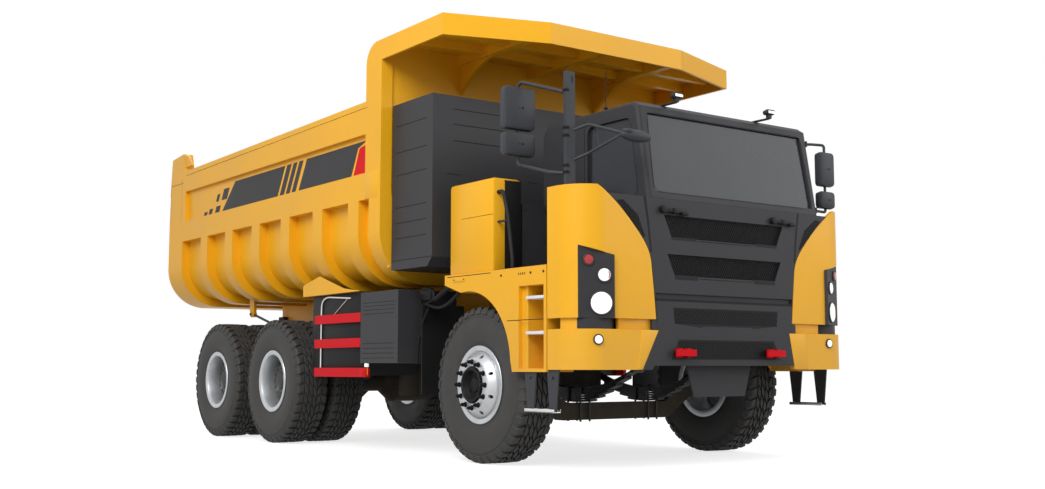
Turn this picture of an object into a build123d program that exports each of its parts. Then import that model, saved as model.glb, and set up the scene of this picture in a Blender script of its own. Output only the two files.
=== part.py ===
from build123d import *
import os
from math import asin, atan2, cos, degrees, hypot, radians, sin, sqrt

os.makedirs("parts", exist_ok=True)

# A wide-body mining dump truck with three axles, in millimetres.
# The front looks along -Y, the truck's left side is +X, and the ground is z = 0.
# Lengths called "behind" are measured backwards from the front axle.

# Clearances
seat_gap = 0.3            # between two pieces that sit together
pin_gap = 0.3             # radial, round pins and spindles
panel_gap = 10            # round a door

# Wheels and axles
front_axle_y = -2925
wheelbase = 4140
tandem_spacing = 1744
tyre_radius = 746.5       # over the lugs
tyre_width = 432
tread_width = 372
bead_radius = 330
rim_lip_radius = 374
rim_width = 380
front_track = 2960
twin_track = 2948         # between the middles of the two twin pairs
twin_spacing = 480
kingpin_offset = 230      # from the front tyre's middle to its kingpin
kingpin_radius = 38
spindle_radius = 80
hub_radius = 150
housing_radius = 135

# Frame
rail_outer = 500
rail_flange = 110
rail_web = 24
rail_bottom = 930
rail_top = 1380
frame_front = -1380
frame_rear = 6960
tow_z = 1100
tow_plate = 40
tow_plate_half = 80
tow_reach = 80
tow_eye_radius = 26

# Bed
body_half_width = 1975
rib_depth = 110
shell_thickness = 25
tub_radius = 553          # outside the ribs
tub_bottom = 1786         # under the ribs
tub_front = 1430
tub_tail = 7640
rib_first = 2003          # middle of the first rib, behind the front axle
rib_pitch = 857
rib_count = 6
rib_width = 240
collar_width = 526
mid_rail_bottom = 2700
mid_rail_top = 2988
top_rail_bottom = 3411
top_rail_front = 3767
top_rail_rear = 3709
panel_recess = 50
ear_height = 270
ramp_length = 1500
ramp_rise = 420

# Canopy over the cab
canopy_top = 4384
canopy_skirt = 218
canopy_plate = 30
canopy_side_depth = 505   # how far the canopy's side plates come down onto the front posts
canopy_corner = 215       # behind the front axle, at the sides
canopy_nose = -140        # behind the front axle, in the middle
canopy_nose_half = 900
canopy_round = 230
post_front = 1414
post_rear = 1745

# Bed hinge and hoist
hinge_y = 6850
hinge_z = 1560
hinge_pin_radius = 60
hoist_x = 700
hoist_base_y = 2870
hoist_base_z = 1000
hoist_eye_z = 1690
hoist_radii = [135, 116, 98, 80, 62]     # barrel, three stages and rod
hoist_drop = 420          # how far the barrels hang below their pivots
hoist_pin_radius = 42
bed_angle = 45

# Cab, set towards the left
cab_offset = 210
cab_half_width = 1150
cab_front = -1610
cab_screen_top = -1465
cab_rear = -60
cab_floor = 1800
cab_belt = 2440
cab_roof = 3345
cab_wall = 60
cab_nose = 40             # the wall behind the front panel stands back by this much

# Front end
front_plane = -1640
front_half_width = 1775
front_corner = 300
front_rear_edge = -1204
left_rear_edge = -1400    # the left corner ends further forward, beside the door
front_skin = 40
fairing_bottom = 1335
fairing_top = 2490
bumper_bottom = 890
bumper_top = 1240
centre_top = 2425

# Deck and fenders
deck_top = 1792
deck_thickness = 92
deck_half_width = 1750
deck_rear = 457
step_front = -1190
step_rear = -780
step_wall = -870          # rear wall inside the step recess
recess_depth = 260
arch_y = 60
arch_z = 924
arch_radius = 712
skirt = 40
tread_heights = [1232, 1547]

# Boxes behind the front wheels
cabinet_half_width = 1850
cabinet_front = 582
cabinet_rear = 1380
cabinet_bottom = 1918
cabinet_top = 3668
box_front = 1231
box_rear = 2027
box_bottom = 957
box_top = 1716
tank_outer = 1800
tank_inner = 1130
tank_rear = 3270
tank_bottom = 822
tank_top = 1735
bar_height = 100
bar_heights = [857, 1180, 1455]


def behind(distance):
    """Place along Y of something that far behind the front axle."""
    return front_axle_y + distance


def slab(low, high, mode=Mode.ADD):
    """Box between two opposite corners."""
    centre = tuple((a + b) / 2 for a, b in zip(low, high))
    with Locations(centre):
        Box(high[0] - low[0], high[1] - low[1], high[2] - low[2], mode=mode)


def across(points, x0, x1, mode=Mode.ADD):
    """Side-view outline, points as (y, z), run across the truck from x0 to x1."""
    with BuildSketch(Plane.YZ.offset(x0)) as outline:
        with BuildLine():
            Polyline(*points, close=True)
        make_face()
    extrude(outline.sketch, amount=x1 - x0, mode=mode)


def upwards(points, z0, z1, mode=Mode.ADD):
    """Plan outline, points as (x, y), run upwards from z0 to z1."""
    with BuildSketch(Plane.XY.offset(z0)) as outline:
        with BuildLine():
            Polyline(*points, close=True)
        make_face()
    extrude(outline.sketch, amount=z1 - z0, mode=mode)


def backwards(points, y0, y1, mode=Mode.ADD):
    """Front-view outline, points as (x, z), run backwards from y0 to y1."""
    with BuildSketch(Plane(origin=(0, y1, 0), x_dir=(1, 0, 0), z_dir=(0, -1, 0))) as outline:
        with BuildLine():
            Polyline(*points, close=True)
        make_face()
    extrude(outline.sketch, amount=y1 - y0, mode=mode)


def rod_x(radius, x0, x1, y, z, mode=Mode.ADD):
    """Round bar along X."""
    with Locations(Location(((x0 + x1) / 2, y, z), (0, 90, 0))):
        Cylinder(radius, abs(x1 - x0), mode=mode)


def rod_z(radius, z0, z1, x, y, mode=Mode.ADD):
    """Round bar along Z."""
    with Locations((x, y, (z0 + z1) / 2)):
        Cylinder(radius, abs(z1 - z0), mode=mode)


def turned(points, x, y, z, outward=1, mode=Mode.ADD):
    """Ring turned about an axis along X; points are (distance outward, radius)."""
    plane = Plane(origin=(x, y, z), x_dir=(outward, 0, 0), z_dir=(0, -outward, 0))
    with BuildSketch(plane) as outline:
        with BuildLine():
            Polyline(*points, close=True)
        make_face()
    revolve(outline.sketch, axis=Axis((x, y, z), (1, 0, 0)), mode=mode)


def tube(points, radius, bend):
    """Round tube bent along a route, with its corners rounded."""
    with BuildLine() as route:
        FilletPolyline(*points, radius=bend)
    with BuildSketch(Plane(origin=route.line @ 0, z_dir=route.line % 0)) as ring:
        Circle(radius)
    sweep(ring.sketch, path=route.line)


def save(part, name):
    """Label a finished piece and write it."""
    part.label = name
    export_step(part, f"parts/{name}.step")


# Places worked out from the driving dimensions
middle_axle_y = behind(wheelbase)
rear_axle_y = behind(wheelbase + tandem_spacing)
axle_z = tyre_radius
kingpin_x = front_track / 2 - kingpin_offset
twin_x = twin_track / 2
side_names = {-1: "right", 1: "left"}
canopy_split = canopy_top - canopy_side_depth


# Tyres and rims
tyre_section = [
    (-rim_width / 2 + 20, bead_radius),
    (-tyre_width / 2, bead_radius + 150),
    (-tyre_width / 2, tyre_radius - 150),
    (-tread_width / 2, tyre_radius - 12),
    (-tread_width / 2 + 14, tyre_radius),
    (tread_width / 2 - 14, tyre_radius),
    (tread_width / 2, tyre_radius - 12),
    (tyre_width / 2, tyre_radius - 150),
    (tyre_width / 2, bead_radius + 150),
    (rim_width / 2 - 20, bead_radius),
]

barrel_radius = bead_radius - seat_gap
barrel_wall = 22


def rim_barrel(x, y, outward):
    """Rim barrel with a lip beside each bead."""
    lip = rim_lip_radius
    half = rim_width / 2
    inner = barrel_radius - barrel_wall
    section = [
        (-half - 6, inner), (-half - 6, lip), (-half + 6, lip), (-half + 6, barrel_radius),
        (half - 6, barrel_radius), (half - 6, lip), (half + 6, lip), (half + 6, inner),
    ]
    turned(section, x, y, axle_z, outward)


for side in (-1, 1):
    x = side * front_track / 2
    y = front_axle_y
    with BuildPart() as front_tyre:
        turned(tyre_section, x, y, axle_z, side)
        # The beads sit between the rim's lips
        turned([(rim_width / 2 - 7, 0), (rim_width / 2 + 40, 0), (rim_width / 2 + 40, rim_lip_radius + seat_gap),
                (rim_width / 2 - 7, rim_lip_radius + seat_gap)], x, y, axle_z, side, Mode.SUBTRACT)
        turned([(-rim_width / 2 + 7, 0), (-rim_width / 2 - 40, 0), (-rim_width / 2 - 40, rim_lip_radius + seat_gap),
                (-rim_width / 2 + 7, rim_lip_radius + seat_gap)], x, y, axle_z, side, Mode.SUBTRACT)
    save(front_tyre.part, f"front_tyre_{side_names[side]}")

    with BuildPart() as front_rim:
        rim_barrel(x, y, side)
        # Domed disc, hub and cap
        turned([(60, barrel_radius - 4), (92, barrel_radius - 4), (150, 235), (150, 100), (118, 100),
                (118, 228)], x, y, axle_z, side)
        turned([(-70, spindle_radius + pin_gap), (-70, hub_radius), (118, hub_radius), (118, 170), (176, 170),
                (176, 128), (196, 118), (196, 0), (150, 0), (150, spindle_radius + pin_gap)], x, y, axle_z, side)
        with Locations(Plane(origin=(x + side * 165, y, axle_z), x_dir=(0, 1, 0), z_dir=(side, 0, 0))):
            with PolarLocations(200, 12):
                Cylinder(15, 30)
        with Locations(Plane(origin=(x + side * 105, y, axle_z), x_dir=(0, 1, 0), z_dir=(side, 0, 0))):
            with PolarLocations(272, 8):
                Cylinder(22, 160, mode=Mode.SUBTRACT)
    save(front_rim.part, f"front_rim_{side_names[side]}")

for axle_name, y in (("middle", middle_axle_y), ("rear", rear_axle_y)):
    for side in (-1, 1):
        with BuildPart() as twin_tyres:
            for place in (-0.5, 0.5):
                x = side * (twin_x + place * twin_spacing)
                turned(tyre_section, x, y, axle_z, side)
                for end in (-1, 1):
                    turned([(end * (rim_width / 2 - 7), 0), (end * (rim_width / 2 + 40), 0),
                            (end * (rim_width / 2 + 40), rim_lip_radius + seat_gap),
                            (end * (rim_width / 2 - 7), rim_lip_radius + seat_gap)],
                           x, y, axle_z, side, Mode.SUBTRACT)
        save(twin_tyres.part, f"{axle_name}_tyres_{side_names[side]}")

        with BuildPart() as twin_rims:
            for place in (-0.5, 0.5):
                rim_barrel(side * (twin_x + place * twin_spacing), y, side)
            x = side * twin_x
            # Spacer between the barrels, deep disc and planetary hub
            half_gap = twin_spacing / 2 - rim_width / 2 - 4
            turned([(-half_gap, barrel_radius - 4), (half_gap, barrel_radius - 4), (half_gap, barrel_radius - 28),
                    (-half_gap, barrel_radius - 28)], x, y, axle_z, side)
            turned([(-30, barrel_radius - 10), (0, barrel_radius - 10), (0, 140), (-30, 140)], x, y, axle_z, side)
            turned([(-300, spindle_radius + pin_gap), (-300, 180), (60, 180), (60, 200), (180, 200), (200, 180),
                    (200, 0), (120, 0), (120, spindle_radius + pin_gap)], x, y, axle_z, side)
            with Locations(Plane(origin=(x + side * 8, y, axle_z), x_dir=(0, 1, 0), z_dir=(side, 0, 0))):
                with PolarLocations(240, 12):
                    Cylinder(15, 36)
        save(twin_rims.part, f"{axle_name}_rims_{side_names[side]}")


# Front axle beam and drive axle housings
beam_bottom = 386
beam_depth = 170
boss_half = 90
arm_thickness = 55
nose_reach = 340

with BuildPart() as axles:
    half = kingpin_x
    with BuildSketch(Plane(origin=(0, front_axle_y + 75, 0), x_dir=(1, 0, 0), z_dir=(0, -1, 0))) as beam:
        with BuildLine():
            Polyline(
                (-half, axle_z - boss_half), (-half + 150, axle_z - boss_half), (-700, beam_bottom),
                (700, beam_bottom), (half - 150, axle_z - boss_half), (half, axle_z - boss_half),
                (half, axle_z + boss_half), (half - 120, axle_z + boss_half), (650, beam_bottom + beam_depth),
                (-650, beam_bottom + beam_depth), (-half + 120, axle_z + boss_half), (-half, axle_z + boss_half),
                close=True,
            )
        make_face()
    extrude(beam.sketch, amount=150)
    for side in (-1, 1):
        rod_z(80, axle_z - boss_half, axle_z + boss_half, side * kingpin_x, front_axle_y)
        rod_z(kingpin_radius + pin_gap, axle_z - 2 * boss_half, axle_z + 2 * boss_half,
              side * kingpin_x, front_axle_y, Mode.SUBTRACT)
    for y in (middle_axle_y, rear_axle_y):
        turned([(-1120, 0), (-1120, housing_radius), (-420, housing_radius), (-250, 270), (250, 270),
                (420, housing_radius), (1120, housing_radius), (1120, 0)], 0, y, axle_z)
        for side in (-1, 1):
            rod_x(spindle_radius, side * 1110, side * (twin_x + 110), y, axle_z)
            rod_x(190, side * 1118, side * 1162, y, axle_z)
        # Pinion nose in front, and the boss for the shaft behind
        with Locations(Location((0, y - nose_reach + 100, axle_z), (90, 0, 0))):
            Cone(200, 110, 200)
    with Locations(Location((0, middle_axle_y + nose_reach / 2, axle_z), (90, 0, 0))):
        Cylinder(95, nose_reach)
save(axles.part, "axles")

for side in (-1, 1):
    x = side * kingpin_x
    with BuildPart() as knuckle:
        # Fork over the beam's eye, with the kingpin through both arms
        for top in (-1, 1):
            z = axle_z + top * (boss_half + seat_gap + arm_thickness / 2)
            with Locations(((x + side * 20), front_axle_y, z)):
                Box(190, 150, arm_thickness)
        rod_z(kingpin_radius, axle_z - boss_half - 40, axle_z + boss_half + 40, x, front_axle_y)
        low = min(x + side * 85, x + side * 135)
        high = max(x + side * 85, x + side * 135)
        fork_half = boss_half + seat_gap + arm_thickness
        slab((low, front_axle_y - 75, axle_z - fork_half), (high, front_axle_y + 75, axle_z + fork_half))
        rod_x(120, x + side * 110, x + side * (kingpin_offset - 76), front_axle_y, axle_z)
        rod_x(spindle_radius, x + side * 110, x + side * (kingpin_offset + 140), front_axle_y, axle_z)
    save(knuckle.part, f"knuckle_{side_names[side]}")


# Frame with its cross-members, brackets, cradle and cab supports
cross_places = [-1330, -620, 640, 1670, 3560, 5012, 6500]
upright_places = [830, 1230]
upright_half = 50
fascia_depth = 90

with BuildPart() as frame:
    rail_low = behind(frame_front)
    rail_high = behind(frame_rear)
    for side in (-1, 1):
        outer = side * rail_outer
        web = side * (rail_outer - rail_web)
        flange = side * (rail_outer - rail_flange)
        section = [(outer, rail_bottom), (outer, rail_top), (flange, rail_top), (flange, rail_top - 24),
                   (web, rail_top - 24), (web, rail_bottom + 24), (flange, rail_bottom + 24), (flange, rail_bottom)]
        backwards(section, rail_low, rail_high)
        # Ears of the bed hinge, outside the rail
        y = behind(hinge_y)
        ear = [(y - 230, rail_bottom + 60), (y + 110, rail_bottom + 60), (y + 110, hinge_z), (y + 80, hinge_z + 90),
               (y - 80, hinge_z + 90), (y - 110, hinge_z)]
        across(ear, side * (rail_outer - 20), side * (rail_outer + 40))
        rod_x(hinge_pin_radius, side * (rail_outer - 130), side * (rail_outer + 55), y, hinge_z)
        # Trunnion brackets of the hoist, between the rails and the barrels
        y = behind(hoist_base_y)
        x0, x1 = sorted((side * (rail_outer - 4), side * (hoist_x - hoist_radii[0] - 15)))
        slab((x0, y - 110, hoist_base_z - 90), (x1, y + 110, hoist_base_z + 100))
        rod_x(hoist_pin_radius + pin_gap, side * (rail_outer + 2), side * (hoist_x - hoist_radii[0]), y, hoist_base_z,
              Mode.SUBTRACT)
    for place in cross_places:
        y = behind(place)
        inner = rail_outer - rail_web
        slab((-inner, y - 55, rail_bottom + 110), (inner, y + 55, rail_top - 110))
    # Front cross beam and uprights that carry the bumper, the panel and the yellow corners
    fascia_y = behind(frame_front) - fascia_depth
    slab((-1300, fascia_y, rail_bottom + 60), (1300, behind(frame_front), rail_bottom + 220))
    for side in (-1, 1):
        for place in upright_places:
            x0, x1 = sorted((side * (place - upright_half), side * (place + upright_half)))
            slab((x0, fascia_y, rail_bottom + 60), (x1, behind(frame_front), deck_top - deck_thickness))
        # Bracket to the yellow corner
        slab((x0, behind(front_plane) + front_skin, 1400), (x1, fascia_y + 5, 1560))
        # Cradle under the battery cabinet
        x0, x1 = sorted((side * 400, side * rail_outer))
        slab((x0, behind(cabinet_front + 60), rail_top), (x1, behind(cabinet_rear - 60), cabinet_bottom))
        # Deck supports
        for place in (-900, 250):
            slab((x0, behind(place) - 60, rail_top), (x1, behind(place) + 60, deck_top - deck_thickness))
        # Outriggers to the side boxes
        for place in (1500, 2400):
            x0, x1 = sorted((side * rail_outer, side * tank_inner))
            slab((x0, behind(place) - 45, rail_bottom + 60), (x1, behind(place) + 45, rail_bottom + 240))
    # Rear cross-member with a towing eye
    slab((-inner, behind(frame_rear) - 60, rail_bottom + 60), (inner, behind(frame_rear), rail_top - 60))
    slab((-tow_plate_half, behind(frame_rear) - 5, tow_z - tow_plate / 2),
         (tow_plate_half, behind(frame_rear) + tow_reach + 60, tow_z + tow_plate / 2))
    rod_z(tow_eye_radius, tow_z - tow_plate, tow_z + tow_plate, 0, behind(frame_rear) + tow_reach, Mode.SUBTRACT)
save(frame.part, "frame_rails")


# Springs: a leaf pack under each rail in front, an upside-down pack beside each rail behind
leaf_width = 90
spring_seat = beam_bottom + beam_depth
front_spring_half = 900

with BuildPart() as suspension:
    for side in (-1, 1):
        x0, x1 = sorted((side * (rail_outer - leaf_width), side * rail_outer))
        y = front_axle_y
        pack = [(y - front_spring_half, rail_bottom - 60), (y - 300, spring_seat + 60), (y - 110, spring_seat),
                (y + 110, spring_seat), (y + 300, spring_seat + 60), (y + front_spring_half, rail_bottom - 60),
                (y + front_spring_half, rail_bottom), (y + front_spring_half - 80, rail_bottom),
                (y + 300, spring_seat + 170), (y, spring_seat + 150), (y - 300, spring_seat + 170),
                (y - front_spring_half + 80, rail_bottom), (y - front_spring_half, rail_bottom)]
        across(pack, x0, x1)
        x0, x1 = sorted((side * rail_outer, side * (rail_outer + 110)))
        y = (middle_axle_y + rear_axle_y) / 2
        half = tandem_spacing / 2
        seat = axle_z + housing_radius
        pack = [(y - half - 90, seat), (y - half + 90, seat), (y - 200, seat + 100), (y + 200, seat + 100),
                (y + half - 90, seat), (y + half + 90, seat), (y + half + 90, seat + 55), (y + 160, seat + 270),
                (y - 160, seat + 270), (y - half - 90, seat + 55)]
        across(pack, x0, x1)
save(suspension.part, "suspension")


# Drive motor as one block, with the shafts to the two drive axles
motor_front = 560
motor_rear = 1750

with BuildPart() as motor:
    slab((-310, behind(motor_front), 640), (310, behind(motor_rear), rail_bottom + 110))
    for y0, y1, radius in ((behind(motor_rear), middle_axle_y - nose_reach, 60),
                           (middle_axle_y + nose_reach, rear_axle_y - nose_reach, 50)):
        with Locations(Location((0, (y0 + y1) / 2, axle_z), (90, 0, 0))):
            Cylinder(radius, y1 - y0)
save(motor.part, "drive_motor")


# Line of the hoist: its pivot and its eye lie equally far from the bed's hinge,
# so the barrels tilt by half of the bed's angle
eye_y = hinge_y - sqrt((hinge_y - hoist_base_y) ** 2 + (hinge_z - hoist_base_z) ** 2 - (hoist_eye_z - hinge_z) ** 2)
reach = hypot(hinge_y - hoist_base_y, hinge_z - hoist_base_z)
rest_length = hypot(eye_y - hoist_base_y, hoist_eye_z - hoist_base_z)
rest_half_angle = asin(rest_length / 2 / reach)
full_length = 2 * reach * sin(rest_half_angle + radians(bed_angle) / 2)
stage_count = len(hoist_radii) - 2
stage_travel = (full_length - rest_length) / (stage_count + 1)
lean = degrees(atan2(eye_y - hoist_base_y, hoist_eye_z - hoist_base_z))
print("hoist eye", round(eye_y, 2), "rest", round(rest_length, 2), "full", round(full_length, 2),
      "stage travel", round(stage_travel, 3), "lean", round(lean, 3))

# Slotted cheeks under the bed take the rods' pins, with room for the linkage opened there
cheek_inner = 70
cheek_outer = 105
eye_half = 60
cheek_half = 120
cheek_depth = 145
slot_room = 18
slot_drop = 50


# Bed: rounded tub with ribs, side rails, tail ears and bearers
shell_half = body_half_width - rib_depth
shell_radius = tub_radius - rib_depth
floor_bottom = tub_bottom + rib_depth
arc_z = tub_bottom + tub_radius
inner_half = shell_half - shell_thickness
floor_top = floor_bottom + shell_thickness
bearer_outer = rail_outer - 30
bearer_inner = rail_outer - 100
bearer_bottom = rail_top + seat_gap


def tub_outline(half, radius, bottom, top):
    """U-shaped section with round lower corners, closed at the top."""
    with BuildLine() as section:
        Line((-half, top), (-half, bottom + radius))
        TangentArc((-half, bottom + radius), (-half + radius, bottom), tangent=(0, -1))
        Line((-half + radius, bottom), (half - radius, bottom))
        TangentArc((half - radius, bottom), (half, bottom + radius), tangent=(1, 0))
        Line((half, bottom + radius), (half, top))
        Line((half, top), (-half, top))
    return section.line


def tub_ring(half, radius, bottom, top, y0, y1, mode=Mode.ADD):
    """The U-shaped section run backwards from y0 to y1."""
    with BuildSketch(Plane(origin=(0, y1, 0), x_dir=(1, 0, 0), z_dir=(0, -1, 0))) as outline:
        add(tub_outline(half, radius, bottom, top))
        make_face()
    extrude(outline.sketch, amount=y1 - y0, mode=mode)


def rail_line(place):
    """Height of the sloping top rail at a place along the bed."""
    share = (place - post_rear) / (tub_tail - 600 - post_rear)
    return top_rail_front + (top_rail_rear - top_rail_front) * share


collar_front = tub_tail - collar_width
wall_outer = body_half_width - panel_recess
wall_inner = inner_half

with BuildPart() as tub:
    front_y = behind(tub_front)
    tail_y = behind(tub_tail)
    # Shell, ribs and tail collar up to the middle rail
    tub_ring(shell_half, shell_radius, floor_bottom, mid_rail_bottom + 20, front_y, tail_y)
    for number in range(rib_count):
        place = rib_first + number * rib_pitch
        tub_ring(body_half_width, tub_radius, tub_bottom, mid_rail_bottom + 20,
                 behind(place - rib_width / 2), behind(place + rib_width / 2))
    tub_ring(body_half_width, tub_radius, tub_bottom, mid_rail_bottom + 20, behind(collar_front), tail_y)
    tub_ring(body_half_width, tub_radius, tub_bottom, mid_rail_bottom + 20, behind(post_front), behind(post_rear - 90))
    for side in (-1, 1):
        x0, x1 = sorted((side * wall_inner, side * body_half_width))
        slab((x0, behind(post_front), mid_rail_bottom), (x1, tail_y, mid_rail_top))
        # Recessed side panel, posts and top rail
        x0, x1 = sorted((side * wall_inner, side * wall_outer))
        slab((x0, behind(post_front), mid_rail_top), (x1, tail_y, top_rail_bottom + 40))
        x0, x1 = sorted((side * wall_inner, side * body_half_width))
        across([(behind(post_front), top_rail_bottom), (tail_y, top_rail_bottom), (tail_y - 30, rail_line(tub_tail)),
                (behind(post_rear), rail_line(post_rear)), (behind(post_front), rail_line(post_rear))], x0, x1)
        slab((x0, behind(post_front), mid_rail_top), (x1, behind(post_rear), canopy_split))
        across([(behind(collar_front - 95), mid_rail_top), (tail_y, mid_rail_top), (tail_y - 30, rail_line(tub_tail)),
                (tail_y - 55, rail_line(tub_tail) + ear_height - 35),
                (behind(collar_front + 30), rail_line(tub_tail) + ear_height),
                (behind(collar_front - 60), rail_line(tub_tail))], x0, x1)
    # Hollow of the load space, open at the tail
    tub_ring(inner_half, shell_radius - shell_thickness, floor_top, canopy_top + 100,
             behind(post_front) + 60, tail_y + 200, Mode.SUBTRACT)
    # Front wall
    slab((-wall_inner - 5, behind(post_front) + 20, floor_bottom + 60),
         (wall_inner + 5, behind(post_front) + 60, canopy_split))
    # Raised tail of the floor
    ramp = [(tail_y - ramp_length, floor_top - 5), (tail_y, floor_top - 5), (tail_y, floor_top + ramp_rise),
            (tail_y - 40, floor_top + ramp_rise)]
    across(ramp, -(shell_half - shell_radius + 60), shell_half - shell_radius + 60)
    for side in (-1, 1):
        # Bearers on the frame, with the lugs of the hinge
        x0, x1 = sorted((side * bearer_inner, side * bearer_outer))
        y = behind(hinge_y)
        bearer = [(behind(1700), bearer_bottom), (y - 300, bearer_bottom), (y - 90, hinge_z - 70), (y + 60, hinge_z - 90),
                  (y + 110, hinge_z), (y + 110, floor_bottom + 5), (behind(1500), floor_bottom + 5),
                  (behind(1500), tub_bottom - 60)]
        across(bearer, x0, x1)
        rod_x(hinge_pin_radius + pin_gap, side * (bearer_inner - 20), side * (bearer_outer + 20), y, hinge_z,
              Mode.SUBTRACT)
        # Cheeks for the hoist
        y = behind(eye_y)
        for low, high in ((-cheek_outer, -cheek_inner), (cheek_inner, cheek_outer)):
            slab((side * hoist_x + low, y - cheek_half, hoist_eye_z - cheek_depth),
                 (side * hoist_x + high, y + cheek_half, floor_bottom + 5))
        slot_half = hoist_pin_radius + slot_room
        with BuildSketch(Plane.YZ.offset(side * hoist_x - cheek_outer - 5)) as slot:
            with Locations((y, hoist_eye_z - slot_drop / 2)):
                SlotOverall(2 * slot_half + slot_drop, 2 * slot_half, rotation=90)
        extrude(slot.sketch, amount=2 * cheek_outer + 10, mode=Mode.SUBTRACT)
save(tub.part, "bed_tub")


def canopy_outline(inset):
    """Plan of the canopy, with its three front facets."""
    half = body_half_width - inset
    nose_half = canopy_nose_half - inset * 0.2
    return [
        (-half, behind(post_rear)), (-half, behind(canopy_corner) + inset), (-nose_half, behind(canopy_nose) + inset),
        (nose_half, behind(canopy_nose) + inset), (half, behind(canopy_corner) + inset), (half, behind(post_rear)),
    ]


with BuildPart() as canopy:
    skirt_bottom = canopy_top - canopy_skirt
    upwards(canopy_outline(0), skirt_bottom, canopy_top)
    # Side plates that come down onto the front posts
    for side in (-1, 1):
        x0, x1 = sorted((side * wall_inner, side * body_half_width))
        slab((x0, behind(post_front), canopy_split), (x1, behind(post_rear), canopy_top))
    slab((-wall_inner - 5, behind(post_front) + 20, canopy_split),
         (wall_inner + 5, behind(post_front) + 60, canopy_top - 40))
    # Rounded rear corner of the side plates
    rear_y = behind(post_rear)
    with BuildSketch(Plane.YZ.offset(-body_half_width - 5)) as profile:
        with BuildLine():
            Polyline((rear_y, canopy_split), (behind(canopy_nose) - 5, canopy_split),
                     (behind(canopy_nose) - 5, canopy_top), (rear_y - canopy_round, canopy_top))
            TangentArc((rear_y - canopy_round, canopy_top), (rear_y, canopy_top - canopy_round), tangent=(1, 0))
            Line((rear_y, canopy_top - canopy_round), (rear_y, canopy_split))
        make_face()
    extrude(profile.sketch, amount=2 * body_half_width + 10, mode=Mode.INTERSECT)
    # Hollow under the roof plate
    hollow = canopy_outline(canopy_plate)
    hollow = [(x, min(y, behind(post_front) + 20)) for x, y in hollow]
    upwards(hollow, skirt_bottom - 5, canopy_top - canopy_plate, Mode.SUBTRACT)
    upwards([(-wall_inner, behind(post_front) + 60), (wall_inner, behind(post_front) + 60),
             (wall_inner, behind(post_rear) + 5), (-wall_inner, behind(post_rear) + 5)],
            skirt_bottom - 5, canopy_top - canopy_plate, Mode.SUBTRACT)
    # Stiffeners under the roof plate
    for x in (-950, 0, 950):
        slab((x - 45, behind(canopy_nose) + canopy_plate - 2, canopy_top - canopy_plate - 110),
             (x + 45, behind(post_front) + 22, canopy_top - canopy_plate + 2))
    for place in (500, 960):
        slab((-body_half_width + canopy_plate - 2, behind(place) - 40, canopy_top - canopy_plate - 90),
             (body_half_width - canopy_plate + 2, behind(place) + 40, canopy_top - canopy_plate + 2))
save(canopy.part, "bed_canopy")


# Hoist: two telescopic cylinders, drawn along their line at rest
def hoist_line(side):
    """Plane whose Z runs along a cylinder from its pivot to its eye."""
    origin = (side * hoist_x, behind(hoist_base_y), hoist_base_z)
    return Plane(origin=origin, x_dir=(1, 0, 0), z_dir=(0, sin(radians(lean)), cos(radians(lean))))


def along(side, radius, z0, z1, mode=Mode.ADD):
    """Round piece on a cylinder's line, from z0 to z1 above its pivot."""
    with BuildSketch(hoist_line(side).offset(z0)) as ring:
        Circle(radius)
    extrude(ring.sketch, amount=z1 - z0, mode=mode)


barrel_top = rest_length - 220
barrel_floor = 34
stage_floor = 24
stage_lip = 14

with BuildPart() as barrels:
    for side in (-1, 1):
        along(side, hoist_radii[0], -hoist_drop, barrel_top)
        along(side, hoist_radii[0] + stage_lip, barrel_top - 60, barrel_top)
        along(side, hoist_radii[1] + pin_gap, barrel_floor - hoist_drop - seat_gap, barrel_top + 5, Mode.SUBTRACT)
        rod_x(hoist_pin_radius, side * (rail_outer + 6), side * (hoist_x - hoist_radii[0] + 12),
              behind(hoist_base_y), hoist_base_z)
save(barrels.part, "hoist_barrels")

for stage in range(1, stage_count + 1):
    low = barrel_floor - hoist_drop + (stage - 1) * stage_floor
    top = barrel_top + stage_lip * stage
    with BuildPart() as stages:
        for side in (-1, 1):
            along(side, hoist_radii[stage], low, top)
            along(side, hoist_radii[stage + 1] + pin_gap, low + stage_floor - seat_gap, top + 5, Mode.SUBTRACT)
    save(stages.part, f"hoist_stage_{stage}")

rod_low = barrel_floor - hoist_drop + stage_count * stage_floor
with BuildPart() as rods:
    for side in (-1, 1):
        along(side, hoist_radii[-1], rod_low, rest_length - 30)
        rod_x(hoist_radii[-1], side * hoist_x - eye_half, side * hoist_x + eye_half, behind(eye_y), hoist_eye_z)
        rod_x(hoist_pin_radius, side * hoist_x - cheek_outer, side * hoist_x + cheek_outer, behind(eye_y), hoist_eye_z)
save(rods.part, "hoist_rods")


# Cab: hollow shell with windows, and the driver's door on the left
cab_left = cab_offset + cab_half_width
cab_right = cab_offset - cab_half_width
belt_step = cab_belt - 8
door_front = -1515
door_rear = -690
door_sill = 1870
door_top = 3235
window_low = 2454
window_top = 3197
window_rear = -756
window_round = 70
pane = 8
hinge_out = 22            # hinge pins stand outside the cab's side
hinge_heights = [2050, 2330]
hinge_pin = 9
knuckle_radius = 14


def cab_profile(inset):
    """Side view of the cab as (y, z), moved inwards by the inset."""
    return [
        (behind(cab_front) + cab_nose + inset, cab_floor + inset),
        (behind(cab_front) + cab_nose + inset, belt_step + inset), (behind(cab_front) + inset, belt_step + inset),
        (behind(cab_screen_top) + inset, cab_roof - 45 - inset), (behind(cab_screen_top) + 70 + inset, cab_roof - inset),
        (behind(cab_rear) - 60 - inset, cab_roof - 20 - inset), (behind(cab_rear) - inset, cab_roof - 90 - inset),
        (behind(cab_rear) - inset, cab_floor + inset),
    ]


def pillar(z):
    """Place of the windscreen's outer face at a height."""
    share = (z - belt_step) / (cab_roof - 45 - belt_step)
    return behind(cab_front) + (cab_screen_top - cab_front) * max(share, 0)


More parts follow.
